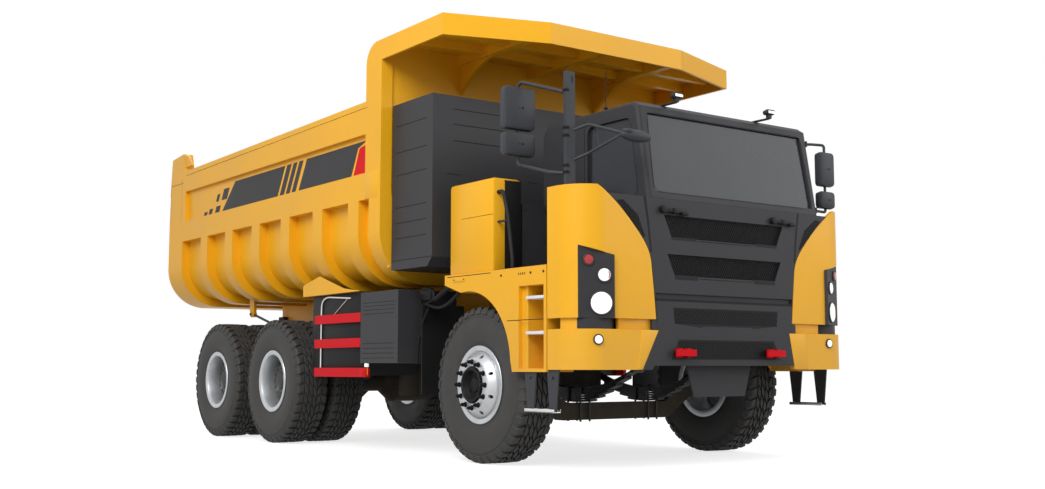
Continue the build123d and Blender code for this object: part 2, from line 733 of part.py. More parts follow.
def door_outline(gap):
    """Side view of the door opening as (y, z), drawn in by the gap."""
    return [
        (behind(door_front) + gap, door_sill + gap), (behind(door_front) + gap, belt_step + 40),
        (pillar(door_top) + 80 + gap, door_top - gap), (behind(door_rear) - gap, door_top - gap),
        (behind(door_rear) - gap, door_sill + gap),
    ]


def side_window(gap, x0, x1, mode=Mode.ADD):
    """Side window with rounded corners, drawn in by the gap, run across from x0 to x1."""
    with BuildSketch(Plane.YZ.offset(x0)) as outline:
        with BuildLine():
            Polyline((pillar(window_low) + 131 + gap, window_low + gap), (pillar(window_top) + 112 + gap, window_top - gap),
                     (behind(window_rear) - gap, window_top - gap), (behind(window_rear) - gap, window_low + gap),
                     close=True)
        make_face()
        fillet(outline.vertices(), window_round)
    extrude(outline.sketch, amount=x1 - x0, mode=mode)


def screen_outline(gap):
    """Front view of the windscreen as (x, z), drawn in by the gap."""
    half_low = cab_half_width - 85 - gap
    half_high = cab_half_width - 110 - gap
    return [
        (cab_offset - half_low, cab_belt + 55 + gap), (cab_offset + half_low, cab_belt + 55 + gap),
        (cab_offset + half_high, cab_roof - 110 - gap), (cab_offset - half_high, cab_roof - 110 - gap),
    ]


rear_window = [(cab_offset - 700, 2600), (cab_offset + 700, 2600), (cab_offset + 700, 3120), (cab_offset - 700, 3120)]

with BuildPart() as cab:
    across(cab_profile(0), cab_right, cab_left)
    roof_edges = cab.edges().filter_by(Axis.Z, reverse=True).filter_by_position(
        Axis.Z, cab_belt + 100, cab_roof + 5).filter_by(Axis.X, reverse=True)
    fillet(roof_edges, 45)
    across(cab_profile(cab_wall), cab_right + cab_wall, cab_left - cab_wall, Mode.SUBTRACT)
    across(door_outline(0), cab_left - cab_wall - 5, cab_left + 5, Mode.SUBTRACT)
    side_window(0, cab_right - 5, cab_right + cab_wall + 5, Mode.SUBTRACT)
    backwards(screen_outline(0), behind(cab_front) - 10, behind(cab_screen_top) + 160, Mode.SUBTRACT)
    backwards(rear_window, behind(cab_rear) - cab_wall - 10, behind(cab_rear) + 10, Mode.SUBTRACT)
    # Feet on the deck and hinge pins
    for x in (cab_right + 200, cab_left - 200):
        for place in (cab_front + 250, cab_rear - 250):
            slab((x - 70, behind(place) - 70, deck_top), (x + 70, behind(place) + 70, cab_floor + 5))
    pin_x = cab_left + hinge_out
    pin_y = behind(door_front) - 8
    for z in hinge_heights:
        slab((cab_left - 5, pin_y - 26, z - 60), (pin_x + knuckle_radius, pin_y + 2, z - 32))
        rod_z(knuckle_radius, z - 60, z - 32, pin_x, pin_y)
        rod_z(hinge_pin, z - 60, z + 30, pin_x, pin_y)
save(cab.part, "cab_shell")

# Panes that stay with the cab
with BuildPart() as glass:
    slope = [(pillar(cab_belt + 20) + 22, cab_belt + 20), (pillar(cab_belt + 20) + 22 + pane, cab_belt + 20),
             (pillar(cab_roof - 60) + 22 + pane, cab_roof - 60), (pillar(cab_roof - 60) + 22, cab_roof - 60)]
    across(slope, cab_right, cab_left)
    with BuildSketch(Plane(origin=(0, behind(cab_screen_top) + 200, 0), x_dir=(1, 0, 0), z_dir=(0, -1, 0))) as cut:
        with BuildLine():
            Polyline(*screen_outline(seat_gap), close=True)
        make_face()
    extrude(cut.sketch, amount=600, mode=Mode.INTERSECT)
    inner_rear = [(x + seat_gap * (1 if x < cab_offset else -1), z + seat_gap * (1 if z < 2800 else -1))
                  for x, z in rear_window]
    backwards(inner_rear, behind(cab_rear) - 30 - pane, behind(cab_rear) - 30)
    side_window(seat_gap, cab_right + 26, cab_right + 26 + pane)
save(glass.part, "cab_glass")

with BuildPart() as door:
    across(door_outline(panel_gap), cab_left - cab_wall, cab_left)
    side_window(0, cab_left - cab_wall - 5, cab_left + 5, Mode.SUBTRACT)
    for z in hinge_heights:
        # Strap outside the wall, rooted in the door's skin
        slab((cab_left + 1, pin_y, z - 31), (cab_left + 16, pin_y + 110, z + 25))
        slab((cab_left - 5, behind(door_front) + panel_gap + 5, z - 31), (cab_left + 16, pin_y + 110, z + 25))
        rod_z(knuckle_radius, z - 31, z + 25, pin_x, pin_y)
        rod_z(hinge_pin + pin_gap, z - 40, z + 40, pin_x, pin_y, Mode.SUBTRACT)
    # Handle
    slab((cab_left, behind(door_rear) - 220, 2220), (cab_left + 30, behind(door_rear) - 60, 2250))
save(door.part, "cab_door")

with BuildPart() as door_glass:
    side_window(seat_gap, cab_left - 26 - pane, cab_left - 26)
save(door_glass.part, "door_glass")

# Seats, dashboard and steering wheel
floor_inside = cab_floor + cab_wall
wheel_x = cab_offset + 480
wheel_y = -1150
dash_top = belt_step - 2

with BuildPart() as fittings:
    for x in (wheel_x, 2 * cab_offset - wheel_x):
        slab((x - 150, behind(-820), floor_inside), (x + 150, behind(-520), floor_inside + 270))
        slab((x - 260, behind(-960), floor_inside + 270), (x + 260, behind(-420), floor_inside + 420))
        back = [(behind(-520), floor_inside + 420), (behind(-400), floor_inside + 420),
                (behind(-280), floor_inside + 1120), (behind(-390), floor_inside + 1120)]
        across(back, x - 250, x + 250)
    dash_front = behind(cab_front) + cab_nose + cab_wall
    board = [(dash_front, floor_inside + 150), (dash_front, dash_top), (behind(-1400), dash_top),
             (behind(-1240), dash_top - 120), (behind(-1330), floor_inside + 150)]
    across(board, cab_right + cab_wall + 80, cab_left - cab_wall - 80)
    tilt = Plane(origin=(wheel_x, behind(wheel_y), cab_belt + 10), x_dir=(1, 0, 0),
                 z_dir=(0, sin(radians(28)), cos(radians(28))))
    with BuildSketch(Plane(origin=tilt.origin + tilt.x_dir * 225, x_dir=tilt.x_dir, z_dir=tilt.y_dir)) as grip:
        Circle(16)
    revolve(grip.sketch, axis=Axis(tilt.origin, tilt.z_dir))
    with Locations(tilt):
        Box(430, 40, 18)
        Cylinder(55, 40)
    with BuildSketch(tilt.offset(-340)) as column:
        Circle(32)
    extrude(column.sketch, amount=335)
save(fittings.part, "cab_fittings")


# Deck, fenders and steps
deck_low = deck_top - deck_thickness
deck_front = -1345

with BuildPart() as deck:
    slab((-1300, behind(frame_front) - 100, deck_low), (1300, behind(deck_front) + 40, deck_top))
    slab((-1700, behind(deck_front), deck_low), (1700, behind(step_front) + 40, deck_top))
    slab((-deck_half_width, behind(step_front), deck_low), (deck_half_width, behind(deck_rear), deck_top))
save(deck.part, "deck")


fender_bottom = 871
fender_top = deck_top + 18

# The steered wheel stays inside a ball about its kingpin
sweep_radius = hypot(kingpin_offset + tread_width / 2 + 4, tyre_radius)

with BuildPart() as fenders:
    for side in (-1, 1):
        inner = deck_half_width - 560
        outer = front_half_width
        x0, x1 = sorted((side * inner, side * outer))
        # Side view: the outline of the fender and its column
        outline = [(behind(deck_rear), 1713), (behind(deck_rear), fender_top), (behind(step_front), fender_top),
                   (behind(step_front), fender_bottom), (behind(arch_y - arch_radius), fender_bottom),
                   (behind(arch_y - arch_radius), arch_z), (behind(arch_y), arch_z + arch_radius - 40)]
        across(outline, x0, x1)
        # Wheel arch, and room for the wheel as it steers
        rod_x(arch_radius, x0 - 5, x1 + 5, behind(arch_y), arch_z, Mode.SUBTRACT)
        with Locations((side * kingpin_x, front_axle_y, axle_z)):
            Sphere(sweep_radius + 8, mode=Mode.SUBTRACT)
        slab((x0 - 5, behind(arch_y - arch_radius), fender_bottom - 5), (x1 + 5, behind(deck_rear) + 5, arch_z),
             Mode.SUBTRACT)
        # Room for the deck above the arch, left as a thin shell
        d0, d1 = sorted((side * (inner - 5), side * (deck_half_width + seat_gap)))
        slab((d0, behind(step_front) - 5, deck_low - seat_gap), (d1, behind(deck_rear) + 5, fender_top + 5),
             Mode.SUBTRACT)
        # Step recess, open outwards
        s0, s1 = sorted((side * (outer - skirt - 1), side * (outer + 5)))
        slab((s0, behind(step_front) + skirt, fender_bottom + 30), (s1, behind(step_rear), deck_low - 60),
             Mode.SUBTRACT)
        s0, s1 = sorted((side * (outer - recess_depth), side * (outer + 5)))
        slab((s0, behind(step_front) + skirt, fender_bottom + 30), (s1, behind(step_wall), deck_low - 60),
             Mode.SUBTRACT)
        # The column is hollow towards the frame
        h0, h1 = sorted((side * (inner - 5), side * (outer - recess_depth - skirt)))
        slab((h0, behind(step_front) - 5, fender_bottom - 5), (h1, behind(step_wall) + skirt + 5, deck_low - 120),
             Mode.SUBTRACT)
save(fenders.part, "fenders")


# Front end: rounded corners, centre panel, bumper, lamps
def front_band(depth, z0, z1, mode=Mode.ADD):
    """Band round the front corners, from one rear edge to the other."""
    half = front_half_width
    r = front_corner
    y0 = behind(front_plane)
    y1 = behind(front_rear_edge)
    with BuildSketch(Plane.XY.offset(z0)) as plan:
        for inset, how in ((0, Mode.ADD), (depth, Mode.SUBTRACT)):
            with BuildLine():
                Line((-half + inset, y1 + inset), (-half + inset, y0 + r))
                TangentArc((-half + inset, y0 + r), (-half + r, y0 + inset), tangent=(0, -1))
                Line((-half + r, y0 + inset), (half - r, y0 + inset))
                TangentArc((half - r, y0 + inset), (half - inset, y0 + r), tangent=(1, 0))
                Line((half - inset, y0 + r), (half - inset, y1 + inset))
                Line((half - inset, y1 + inset), (-half + inset, y1 + inset))
            make_face(mode=how)
    extrude(plan.sketch, amount=z1 - z0, mode=mode)


def fairing_outline(side, gap):
    """Front view of one yellow corner, with its curved inner edge; points are (x, z)."""
    with BuildLine() as edge:
        Polyline((side * (front_half_width + 50), fairing_bottom), (side * (895 + gap), fairing_bottom),
                 (side * (915 + gap), 1560), (side * (945 + gap), 1840))
        Spline((side * (945 + gap), 1840), (side * (1080 + gap), 2090), (side * (1290 + gap), 2300),
               (side * (1560 + gap), fairing_top + 5), tangents=((side * 0.15, 1), (side * 1, 0.6)))
        Polyline((side * (1560 + gap), fairing_top + 5), (side * (front_half_width + 50), fairing_top + 5),
                 (side * (front_half_width + 50), fairing_bottom))
    return edge.line


front_plane_view = Plane(origin=(0, behind(front_rear_edge) + 50, 0), x_dir=(1, 0, 0), z_dir=(0, -1, 0))
joint_gap = 8

# Dark lamp plates set into the yellow corners, with two lamps and a red one each
plate_low = fairing_bottom
plate_width = 330
plate_high = 1920
lamp_sizes = [(1461, 95, -42), (1704, 55, -70), (1835, 42, 70)]


def lamp_plane(side):
    """Plane of a lamp plate, facing forwards and outwards."""
    turn = radians(24)
    return Plane(origin=(side * 1548, behind(-1600), 0), x_dir=(cos(turn), side * sin(turn), 0),
                 z_dir=(side * sin(turn), -cos(turn), 0))


def plate_outline(side, grow):
    """Outline of a lamp plate on its own plane."""
    half = plate_width / 2 + grow
    return [(-half, plate_low - grow), (half, plate_low - grow), (half, plate_high + side * 40 + grow),
            (-half, plate_high - side * 40 + grow)]


with BuildPart() as corners:
    front_band(front_skin, fairing_bottom, fairing_top)
    with BuildSketch(front_plane_view) as yellow:
        for side in (-1, 1):
            with BuildLine():
                add(fairing_outline(side, 0))
            make_face()
    extrude(yellow.sketch, amount=600, mode=Mode.INTERSECT)
    for side in (-1, 1):
        with BuildSketch(lamp_plane(side).offset(-60)) as window:
            with BuildLine():
                Polyline(*plate_outline(side, seat_gap), close=True)
            make_face()
        extrude(window.sketch, amount=160, mode=Mode.SUBTRACT)
    # The left corner leaves room for the driver's door
    slab((front_half_width - 200, behind(left_rear_edge), fairing_bottom - 5),
         (front_half_width + 5, behind(front_rear_edge) + 5, fairing_top + 5), Mode.SUBTRACT)
    # Lower yellow corners of the bumper
    with BuildPart(mode=Mode.PRIVATE) as lower:
        front_band(70, bumper_bottom, bumper_top)
        slab((-950, behind(front_plane) - 5, bumper_bottom - 5), (950, behind(-1100), bumper_top + 5), Mode.SUBTRACT)
    add(lower.part)
save(corners.part, "front_corners")

with BuildPart() as panel:
    front_band(front_skin, fairing_bottom, fairing_top)
    with BuildSketch(front_plane_view) as yellow:
        for side in (-1, 1):
            with BuildLine():
                add(fairing_outline(side, -joint_gap))
            make_face()
    extrude(yellow.sketch, amount=600, mode=Mode.SUBTRACT)
    backwards([(-2000, centre_top), (2000, centre_top), (2000, fairing_top + 20), (-2000, fairing_top + 20)],
              behind(front_plane) - 5, behind(front_rear_edge) + 5, Mode.SUBTRACT)
    # Grille openings
    for low, high, narrow, wide in ((2075, 2278, 695, 785), (1732, 1925, 660, 750)):
        backwards([(-narrow, low), (narrow, low), (wide, high), (-wide, high)],
                  behind(front_plane) - 5, behind(front_plane) + front_skin + 5, Mode.SUBTRACT)
    slab((-900, behind(front_plane) - 5, 1506), (900, behind(front_plane) + 24, 1570), Mode.SUBTRACT)
    # Backing frame and grille mesh
    slab((-840, behind(front_plane) + front_skin, 1700), (840, behind(front_plane) + front_skin + 20, 2310))
    for side in (-1, 1):
        x0, x1 = sorted((side * (upright_places[0] - 30), side * (upright_places[0] + 30)))
        slab((x0, behind(front_plane) + front_skin - 5, fairing_bottom), (x1, fascia_y, 1600))
save(panel.part, "front_panel")

with BuildPart() as bumper:
    front_band(70, bumper_bottom + 35, fairing_bottom - joint_gap)
    wing = 940
    slab((-2000, behind(front_plane) - 5, bumper_bottom), (-wing, behind(-1100), fairing_top), Mode.SUBTRACT)
    slab((wing, behind(front_plane) - 5, bumper_bottom), (2000, behind(-1100), fairing_top), Mode.SUBTRACT)
    backwards([(-700, 1140), (700, 1140), (500, 990), (-500, 990)],
              behind(front_plane) - 5, behind(front_plane) + 40, Mode.SUBTRACT)
    # Arms back to the cross beam, and the panel under the bumper
    for side in (-1, 1):
        x0, x1 = sorted((side * 560, side * 660))
        slab((x0, behind(front_plane) + 60, 990), (x1, fascia_y, 1150))
        x0, x1 = sorted((side * 880, side * 1300))
        slab((x0, behind(front_plane) + 70 + seat_gap, 1000), (x1, fascia_y, 1140))
    backwards([(-420, 925), (420, 925), (330, 640), (-330, 640)], behind(-1530), behind(-1510))
    slab((-300, behind(-1530), 915), (300, fascia_y, 1100))
save(bumper.part, "lower_bumper")

with BuildPart() as lamps:
    for side in (-1, 1):
        plane = lamp_plane(side)
        with BuildSketch(plane.offset(-40)) as plate:
            with BuildLine():
                Polyline(*plate_outline(side, 0), close=True)
            make_face()
        extrude(plate.sketch, amount=42)
        for z, radius, shift in lamp_sizes:
            with BuildSketch(plane.offset(2)) as lens:
                with Locations((side * shift, z)):
                    Circle(radius)
            extrude(lens.sketch, amount=14)
        # Fog lamp on the lower corner
        out = radians(15.5)
        centre = (side * (front_half_width - front_corner), behind(front_plane) + front_corner)
        fog = Plane(origin=(centre[0] + side * sin(out) * front_corner, centre[1] - cos(out) * front_corner, 1148),
                    x_dir=(cos(out), side * sin(out), 0), z_dir=(side * sin(out), -cos(out), 0))
        with BuildSketch(fog.offset(seat_gap)) as lens:
            Circle(40)
        extrude(lens.sketch, amount=14)
    # Lamps at the front edge of the roof
    for x in (-549, 702):
        slab((x - 25, behind(-1560), cab_roof + seat_gap), (x + 25, behind(-1300), cab_roof + 12))
        slab((x - 60, behind(-1610), cab_roof), (x + 60, behind(-1550), cab_roof + 90))
save(lamps.part, "lamps")

with BuildPart() as hooks:
    for side in (-1, 1):
        x = side * 590
        y = behind(front_plane)
        for low in (-70, 30):
            slab((x + low, y - 52, 1000), (x + low + 40, y - seat_gap, 1080))
        slab((x - 120, y - 72, 1012), (x + 120, y - 50, 1070))
save(hooks.part, "tow_hooks")

ladder_low = 525
with BuildPart() as steps:
    for side in (-1, 1):
        x0, x1 = sorted((side * (front_half_width - 30), side * (front_half_width - 18)))
        for place, hanger in ((-1255, bumper_bottom), (-930, fender_bottom)):
            slab((x0, behind(place) - 45, ladder_low), (x1, behind(place) + 45, hanger - seat_gap))
        t0, t1 = sorted((side * (front_half_width - 70), side * (front_half_width + 5)))
        slab((t0, behind(-1300), ladder_low - 5), (t1, behind(-870), ladder_low + 25))
        # Treads in the fender's recess
        t0, t1 = sorted((side * (front_half_width - recess_depth + seat_gap), side * (front_half_width - 8)))
        for z in tread_heights:
            slab((t0, behind(step_front) + skirt + seat_gap, z - 30), (t1, behind(step_wall) - seat_gap, z))
save(steps.part, "steps")


# Boxes and cabinets
with BuildPart() as cabinet:
    slab((-cabinet_half_width, behind(cabinet_front), cabinet_bottom),
         (cabinet_half_width, behind(cabinet_rear), cabinet_top))
    low_edges = cabinet.edges().filter_by(Axis.X).group_by(Axis.Z)[0].sort_by(Axis.Y)
    chamfer(low_edges[0], 90)
save(cabinet.part, "battery_cabinet")

with BuildPart() as boxes:
    for side in (-1, 1):
        x0, x1 = sorted((side * tank_inner, side * cabinet_half_width))
        slab((x0, behind(box_front), box_bottom), (x1, behind(box_rear), box_top))
        x0, x1 = sorted((side * tank_inner, side * tank_outer))
        slab((x0, behind(box_rear + 30), tank_bottom), (x1, behind(tank_rear), tank_top))
    # Cabinet on the deck beside the cab
    slab((-1400, behind(-330), deck_top), (-1110, behind(380), 2470))
save(boxes.part, "equipment_boxes")

with BuildPart() as guards:
    for side in (-1, 1):
        x0, x1 = sorted((side * tank_outer, side * (tank_outer + 50)))
        for z in bar_heights:
            slab((x0, behind(box_rear + 12), z - bar_height / 2), (x1, behind(3120), z + bar_height / 2))
save(guards.part, "side_guards")

with BuildPart() as lockers:
    for side in (-1, 1):
        x0, x1 = sorted((side * (deck_half_width - 330), side * deck_half_width))
        slab((x0, behind(-338), deck_top), (x1, behind(417), 2700))
save(lockers.part, "tool_lockers")

with BuildPart() as rails:
    for side in (-1, 1):
        x = side * (deck_half_width - 60)
        tube([(x, behind(-570), deck_top), (x, behind(-570), 1900), (x, behind(-500), 2300),
              (x, behind(-420), 2560), (x, behind(-338) - seat_gap, 2560)], 19, 50)
save(rails.part, "handrails")

with BuildPart() as flaps:
    for side in (-1, 1):
        x0, x1 = sorted((side * 1180, side * 1690))
        slab((x0, behind(1010), 640), (x1, behind(1030), deck_low - 150))
        x0, x1 = sorted((side * rail_outer, side * 1690))
        slab((x0, behind(1030), rail_top - 160), (x1, behind(1070), rail_top - 50))
save(flaps.part, "mud_flaps")

# Mirrors: two on a post behind the right corner, a front mirror on its truss, and two on arms of the cab's left pillar
post_x = -1594
post_y = -1295
post_top = 3540
mirror_half = 165
mirror_x = -body_half_width + mirror_half
mirror_y = -812
left_mirror_x = 1566
left_mirror_y = -1530
left_mirror_half = 102
nose_mirror = (-1197, -1735, 2933)
nose_half = (172, 55)


def mirror_head(x, y, low, high, half, depth):
    """Mirror housing with rounded corners and a flat back for the glass."""
    with BuildSketch(Plane(origin=(x, y + depth / 2, 0), x_dir=(1, 0, 0), z_dir=(0, -1, 0))) as face:
        with Locations((0, (low + high) / 2)):
            RectangleRounded(2 * half, high - low, 40)
    extrude(face.sketch, amount=depth)


with BuildPart() as mirrors:
    y = behind(post_y)
    my = behind(mirror_y)
    slab((post_x - 50, y - 20, deck_top), (post_x + 50, y + 20, post_top))
    mirror_head(mirror_x, my, 3066, 3450, mirror_half, 90)
    mirror_head(mirror_x, my, 2823, 3029, mirror_half, 90)
    rod_z(17, 3000, 3090, mirror_x, my)
    tube([(post_x, y, 3345), (post_x - 110, y + 150, 3400), (mirror_x, my, 3513), (mirror_x, my, 3400)], 17, 45)
    tube([(post_x, y, 2620), (post_x - 110, y + 150, 2640), (mirror_x, my, 2745), (mirror_x, my, 2860)], 17, 45)
    # Front mirror: a long domed head on a truss from the post
    hx, hy, hz = nose_mirror[0], behind(nose_mirror[1]), nose_mirror[2]
    with BuildSketch(Plane(origin=(hx, hy, hz), x_dir=(1, 0, 0), z_dir=(0, 0, 1))) as head:
        with BuildLine():
            EllipticalCenterArc((0, 0), nose_half[0], nose_half[1], start_angle=0, arc_size=180)
            Line((-nose_half[0], 0), (nose_half[0], 0))
        make_face()
    revolve(head.sketch, axis=Axis((hx, hy, hz), (1, 0, 0)))
    tip = (hx - nose_half[0] + 30, hy, hz + 10)
    for start, bend_z in ((3010, 3060), (2740, 2800)):
        tube([(post_x + 30, y, start), (post_x + 130, (y * 3 + hy) / 4, bend_z), tip], 14, 60)
    # Left mirrors, on two arms with foot plates
    ly = behind(left_mirror_y)
    mirror_head(left_mirror_x, ly, 2759, 3102, left_mirror_half, 80)
    mirror_head(left_mirror_x, ly, 2530, 2696, left_mirror_half, 80)
    rod_z(14, 2680, 2780, left_mirror_x, ly)
    for z, fall, foot_y in ((3185, -120, pillar(3185) + 32), (2490, 60, ly - 30)):
        slab((cab_left + seat_gap, foot_y - 25, z - 30), (cab_left + 12, foot_y + 25, z + 30))
        tube([(cab_left + 6, foot_y, z), (cab_left + 66, (foot_y + ly) / 2, z), (left_mirror_x, ly, z),
              (left_mirror_x, ly, z + fall)], 14, 28)
save(mirrors.part, "mirrors")
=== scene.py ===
# %% [markdown]
# This lesson dresses a wide-body mining dump truck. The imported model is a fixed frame: every
# solid already stands in its place, so Blender only adds finishes and the parts that are too
# fine for a solid, such as tread blocks, honeycomb grilles and seals.
# The front of the truck looks along -Y, its left side is +X and the ground is z = 0.

# %% Load the frame
from math import cos, pi, radians, sin

import bmesh
import bpy
from mathutils import Matrix, Vector


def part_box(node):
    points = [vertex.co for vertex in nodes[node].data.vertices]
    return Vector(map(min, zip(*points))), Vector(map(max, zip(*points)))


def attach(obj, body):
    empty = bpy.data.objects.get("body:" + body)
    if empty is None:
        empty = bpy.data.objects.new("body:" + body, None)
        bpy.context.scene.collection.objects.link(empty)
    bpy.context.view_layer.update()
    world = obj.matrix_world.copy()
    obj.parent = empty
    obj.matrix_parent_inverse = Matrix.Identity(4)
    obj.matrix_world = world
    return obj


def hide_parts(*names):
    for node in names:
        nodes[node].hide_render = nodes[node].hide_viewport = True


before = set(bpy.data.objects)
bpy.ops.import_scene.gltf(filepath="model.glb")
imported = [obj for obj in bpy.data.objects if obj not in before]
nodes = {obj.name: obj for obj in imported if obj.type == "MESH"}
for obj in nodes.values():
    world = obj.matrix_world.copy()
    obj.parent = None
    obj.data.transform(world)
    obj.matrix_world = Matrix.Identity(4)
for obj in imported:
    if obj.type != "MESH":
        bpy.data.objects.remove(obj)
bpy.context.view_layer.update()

# %% [markdown]
# Shader maths reads best as sums, so one small class wraps a socket and lets Python's own
# signs build the Math nodes. A second class is a finish: one material, with one way of adding
# any node that isn't plain maths.


# %% Sockets that can be added and multiplied
class Value:
    """A socket of a node tree that works in sums."""

    def __init__(self, tree, socket):
        self.tree = tree
        self.socket = socket

    def sum(self, operation, first, second):
        node = self.tree.nodes.new("ShaderNodeMath")
        node.operation = operation
        for socket, value in zip(node.inputs, (first, second)):
            feed(self.tree, socket, value)
        return Value(self.tree, node.outputs[0])

    def __add__(self, other):
        return self.sum("ADD", self, other)

    def __sub__(self, other):
        return self.sum("SUBTRACT", self, other)

    def __mul__(self, other):
        return self.sum("MULTIPLY", self, other)


def feed(tree, socket, value):
    """Gives a socket a number, a colour or another socket."""
    if isinstance(value, Value):
        tree.links.new(value.socket, socket)
    else:
        socket.default_value = value


class Finish:
    """One material, built node by node."""

    def __init__(self, name, slot):
        self.slot = slot
        self.material = bpy.data.materials.new(name)
        self.material.use_nodes = True
        self.tree = self.material.node_tree
        self.shader = self.tree.nodes["Principled BSDF"]
        self.place = self.add("TexCoord", output="Object")

    def add(self, kind, settings=None, output=0, **inputs):
        """Adds a node; the settings go in first, then the sockets, named with _ for a space."""
        node = self.tree.nodes.new("ShaderNode" + kind)
        for name, value in (settings or {}).items():
            setattr(node, name, value)
        for name, value in inputs.items():
            feed(self.tree, node.inputs[name.replace("_", " ")], value)
        return Value(self.tree, node.outputs[output])

    def noise(self, scale, detail, place=None):
        return self.add("TexNoise", None, 0, Vector=place or self.place, Scale=scale, Detail=detail)

    def ramp(self, value, low, high):
        """0 below low, 1 above high, a straight line between."""
        return self.add("MapRange", None, 0, Value=value, From_Min=low, From_Max=high)

    def mix(self, share, first, second):
        """Blend of two colours."""
        node = self.tree.nodes.new("ShaderNodeMix")
        node.data_type = "RGBA"
        for socket, value in zip((node.inputs[0], node.inputs[6], node.inputs[7]), (share, first, second)):
            feed(self.tree, socket, value)
        return Value(self.tree, node.outputs[2])

    def relief(self, height, distance, strength):
        """Bump from a height between 0 and 1."""
        return self.add("Bump", None, 0, Height=height, Distance=distance, Strength=strength)

    def wear(self, **sockets):
        """Sets the shader's own sockets."""
        for name, value in sockets.items():
            feed(self.tree, self.shader.inputs[name.replace("_", " ")], value)
        return self


def shade(grey, tint=(1.0, 1.0, 1.0)):
    """Colour from a brightness and a tint."""
    return (grey * tint[0], grey * tint[1], grey * tint[2], 1.0)


# %% [markdown]
# The paint of the real truck is a baked enamel: even in colour, with a fine orange peel, a
# little haze on flat panels and a film of dust low down. Three noises do it: a broad one for
# the haze, a fine one for the peel, and a patchy one that breaks the dust's upper edge.


# %% Enamel
def enamel(name, slot, colour, rough, coat, dust_top=1.6, dust_share=0.22, gloss=0.22):
    """Sprayed paint with orange peel, haze and dust near the ground."""
    paint = Finish(name, slot)
    haze = paint.ramp(paint.noise(0.9, 3.0), 0.35, 0.7)
    patchy = paint.noise(7.0, 5.0)
    height = paint.add("SeparateXYZ", None, 2, Vector=paint.place)
    dust = paint.ramp(height + (patchy - 0.5) * 0.9, dust_top, 0.2) * dust_share
    faded = tuple(min(1.0, part * 1.12 + 0.004) for part in colour[:3]) + (1.0,)
    base = paint.mix(haze * 0.5, colour, faded)
    dusty = paint.mix(dust, base, (0.33, 0.27, 0.2, 1.0))
    peel = paint.noise(420.0, 2.0)
    return paint.wear(
        Base_Color=dusty,
        Roughness=haze * 0.06 + dust * 0.6 + rough,
        Specular_IOR_Level=gloss,
        Coat_Weight=coat,
        Coat_Roughness=0.12,
        Normal=paint.relief(peel, 0.00025, 0.5),
    )


yellow_paint = enamel("yellow_paint", "yellow", (0.83, 0.41, 0.008, 1.0), 0.42, 0.1, gloss=0.3)
cabinet_paint = enamel("cabinet_paint", "charcoal", shade(0.036, (0.98, 1.0, 1.1)), 0.45, 0.0, 1.2, 0.05)
chassis_paint = enamel("chassis_paint", "frame_grey", shade(0.014, (1.0, 0.98, 0.96)), 0.55, 0.0, 1.3, 0.3)
red_paint = enamel("red_paint", "red", (0.62, 0.002, 0.009, 1.0), 0.4, 0.0, 1.0, 0.02, 0.1)
pale_paint = enamel("pale_paint", "tread_white", shade(0.72), 0.4, 0.0, 0.9, 0.2)


# %% [markdown]
# Moulded trim, such as the black front and the mirror housings, has a fine leather grain that
# breaks the shine. Voronoi cells with a noise on top look like that grain from close by.


# %% Moulded trim
def moulding(name, slot, colour, rough):
    """Grained plastic."""
    plastic = Finish(name, slot)
    cells = plastic.add("TexVoronoi", None, 0, Vector=plastic.place, Scale=700.0)
    broad = plastic.ramp(plastic.noise(2.2, 4.0), 0.3, 0.75)
    paler = tuple(part * 1.3 + 0.003 for part in colour[:3]) + (1.0,)
    return plastic.wear(
        Base_Color=plastic.mix(broad * 0.6, colour, paler),
        Roughness=broad * 0.1 + rough,
        Specular_IOR_Level=0.2,
        Normal=plastic.relief(cells * 0.6 + plastic.noise(60.0, 3.0) * 0.4, 0.0004, 0.5),
    )


front_trim = moulding("front_trim", "charcoal", shade(0.032, (1.0, 1.0, 1.1)), 0.48)
black_trim = moulding("black_trim", "plastic", shade(0.006), 0.5)
mirror_trim = moulding("mirror_trim", "mirror_grey", shade(0.04, (1.0, 1.05, 1.18)), 0.42)
seal_rubber = moulding("seal_rubber", "rubber", shade(0.008), 0.6)


# %% [markdown]
# Tyre rubber is nearly black where it is clean. Dust stays in the grooves and on the tread, so
# a noise with a high contrast lays a brown film over it, and a faint cross grain is its bump.


# %% Rubber
def tyre_compound():
    """Dusty tyre rubber."""
    rubber = Finish("tyre_rubber", "tyre")
    film = rubber.ramp(rubber.noise(9.0, 8.0), 0.4, 0.8)
    grain = rubber.noise(180.0, 4.0)
    return rubber.wear(
        Base_Color=rubber.mix(film * 0.45, shade(0.028), (0.085, 0.073, 0.062, 1.0)),
        Roughness=film * 0.15 + 0.62,
        Normal=rubber.relief(grain, 0.0012, 0.45),
    )


tyre_rubber = tyre_compound()


# %% [markdown]
# Wheel discs are steel with silver lacquer, the hoist's stages are hard chrome, and the
# tank's handrail is drawn tube. All are metals; they differ in how rough they are and in the
# direction of their fine lines, which a noise stretched by a Mapping node gives.


# %% Metals
def metal(name, slot, colour, rough, stretch=(1.0, 1.0, 1.0), metallic=1.0):
    """Bare or lacquered metal with fine lines."""
    surface = Finish(name, slot)
    lines = surface.add("Mapping", None, 0, Vector=surface.place, Scale=stretch)
    marks = surface.noise(140.0, 4.0, lines)
    stain = surface.ramp(surface.noise(11.0, 5.0), 0.45, 0.75)
    darker = tuple(part * 0.72 for part in colour[:3]) + (1.0,)
    return surface.wear(
        Base_Color=surface.mix(stain * 0.35, colour, darker),
        Metallic=metallic,
        Roughness=stain * 0.12 + marks * 0.08 + rough,
        Normal=surface.relief(marks, 0.0002, 0.35),
    )


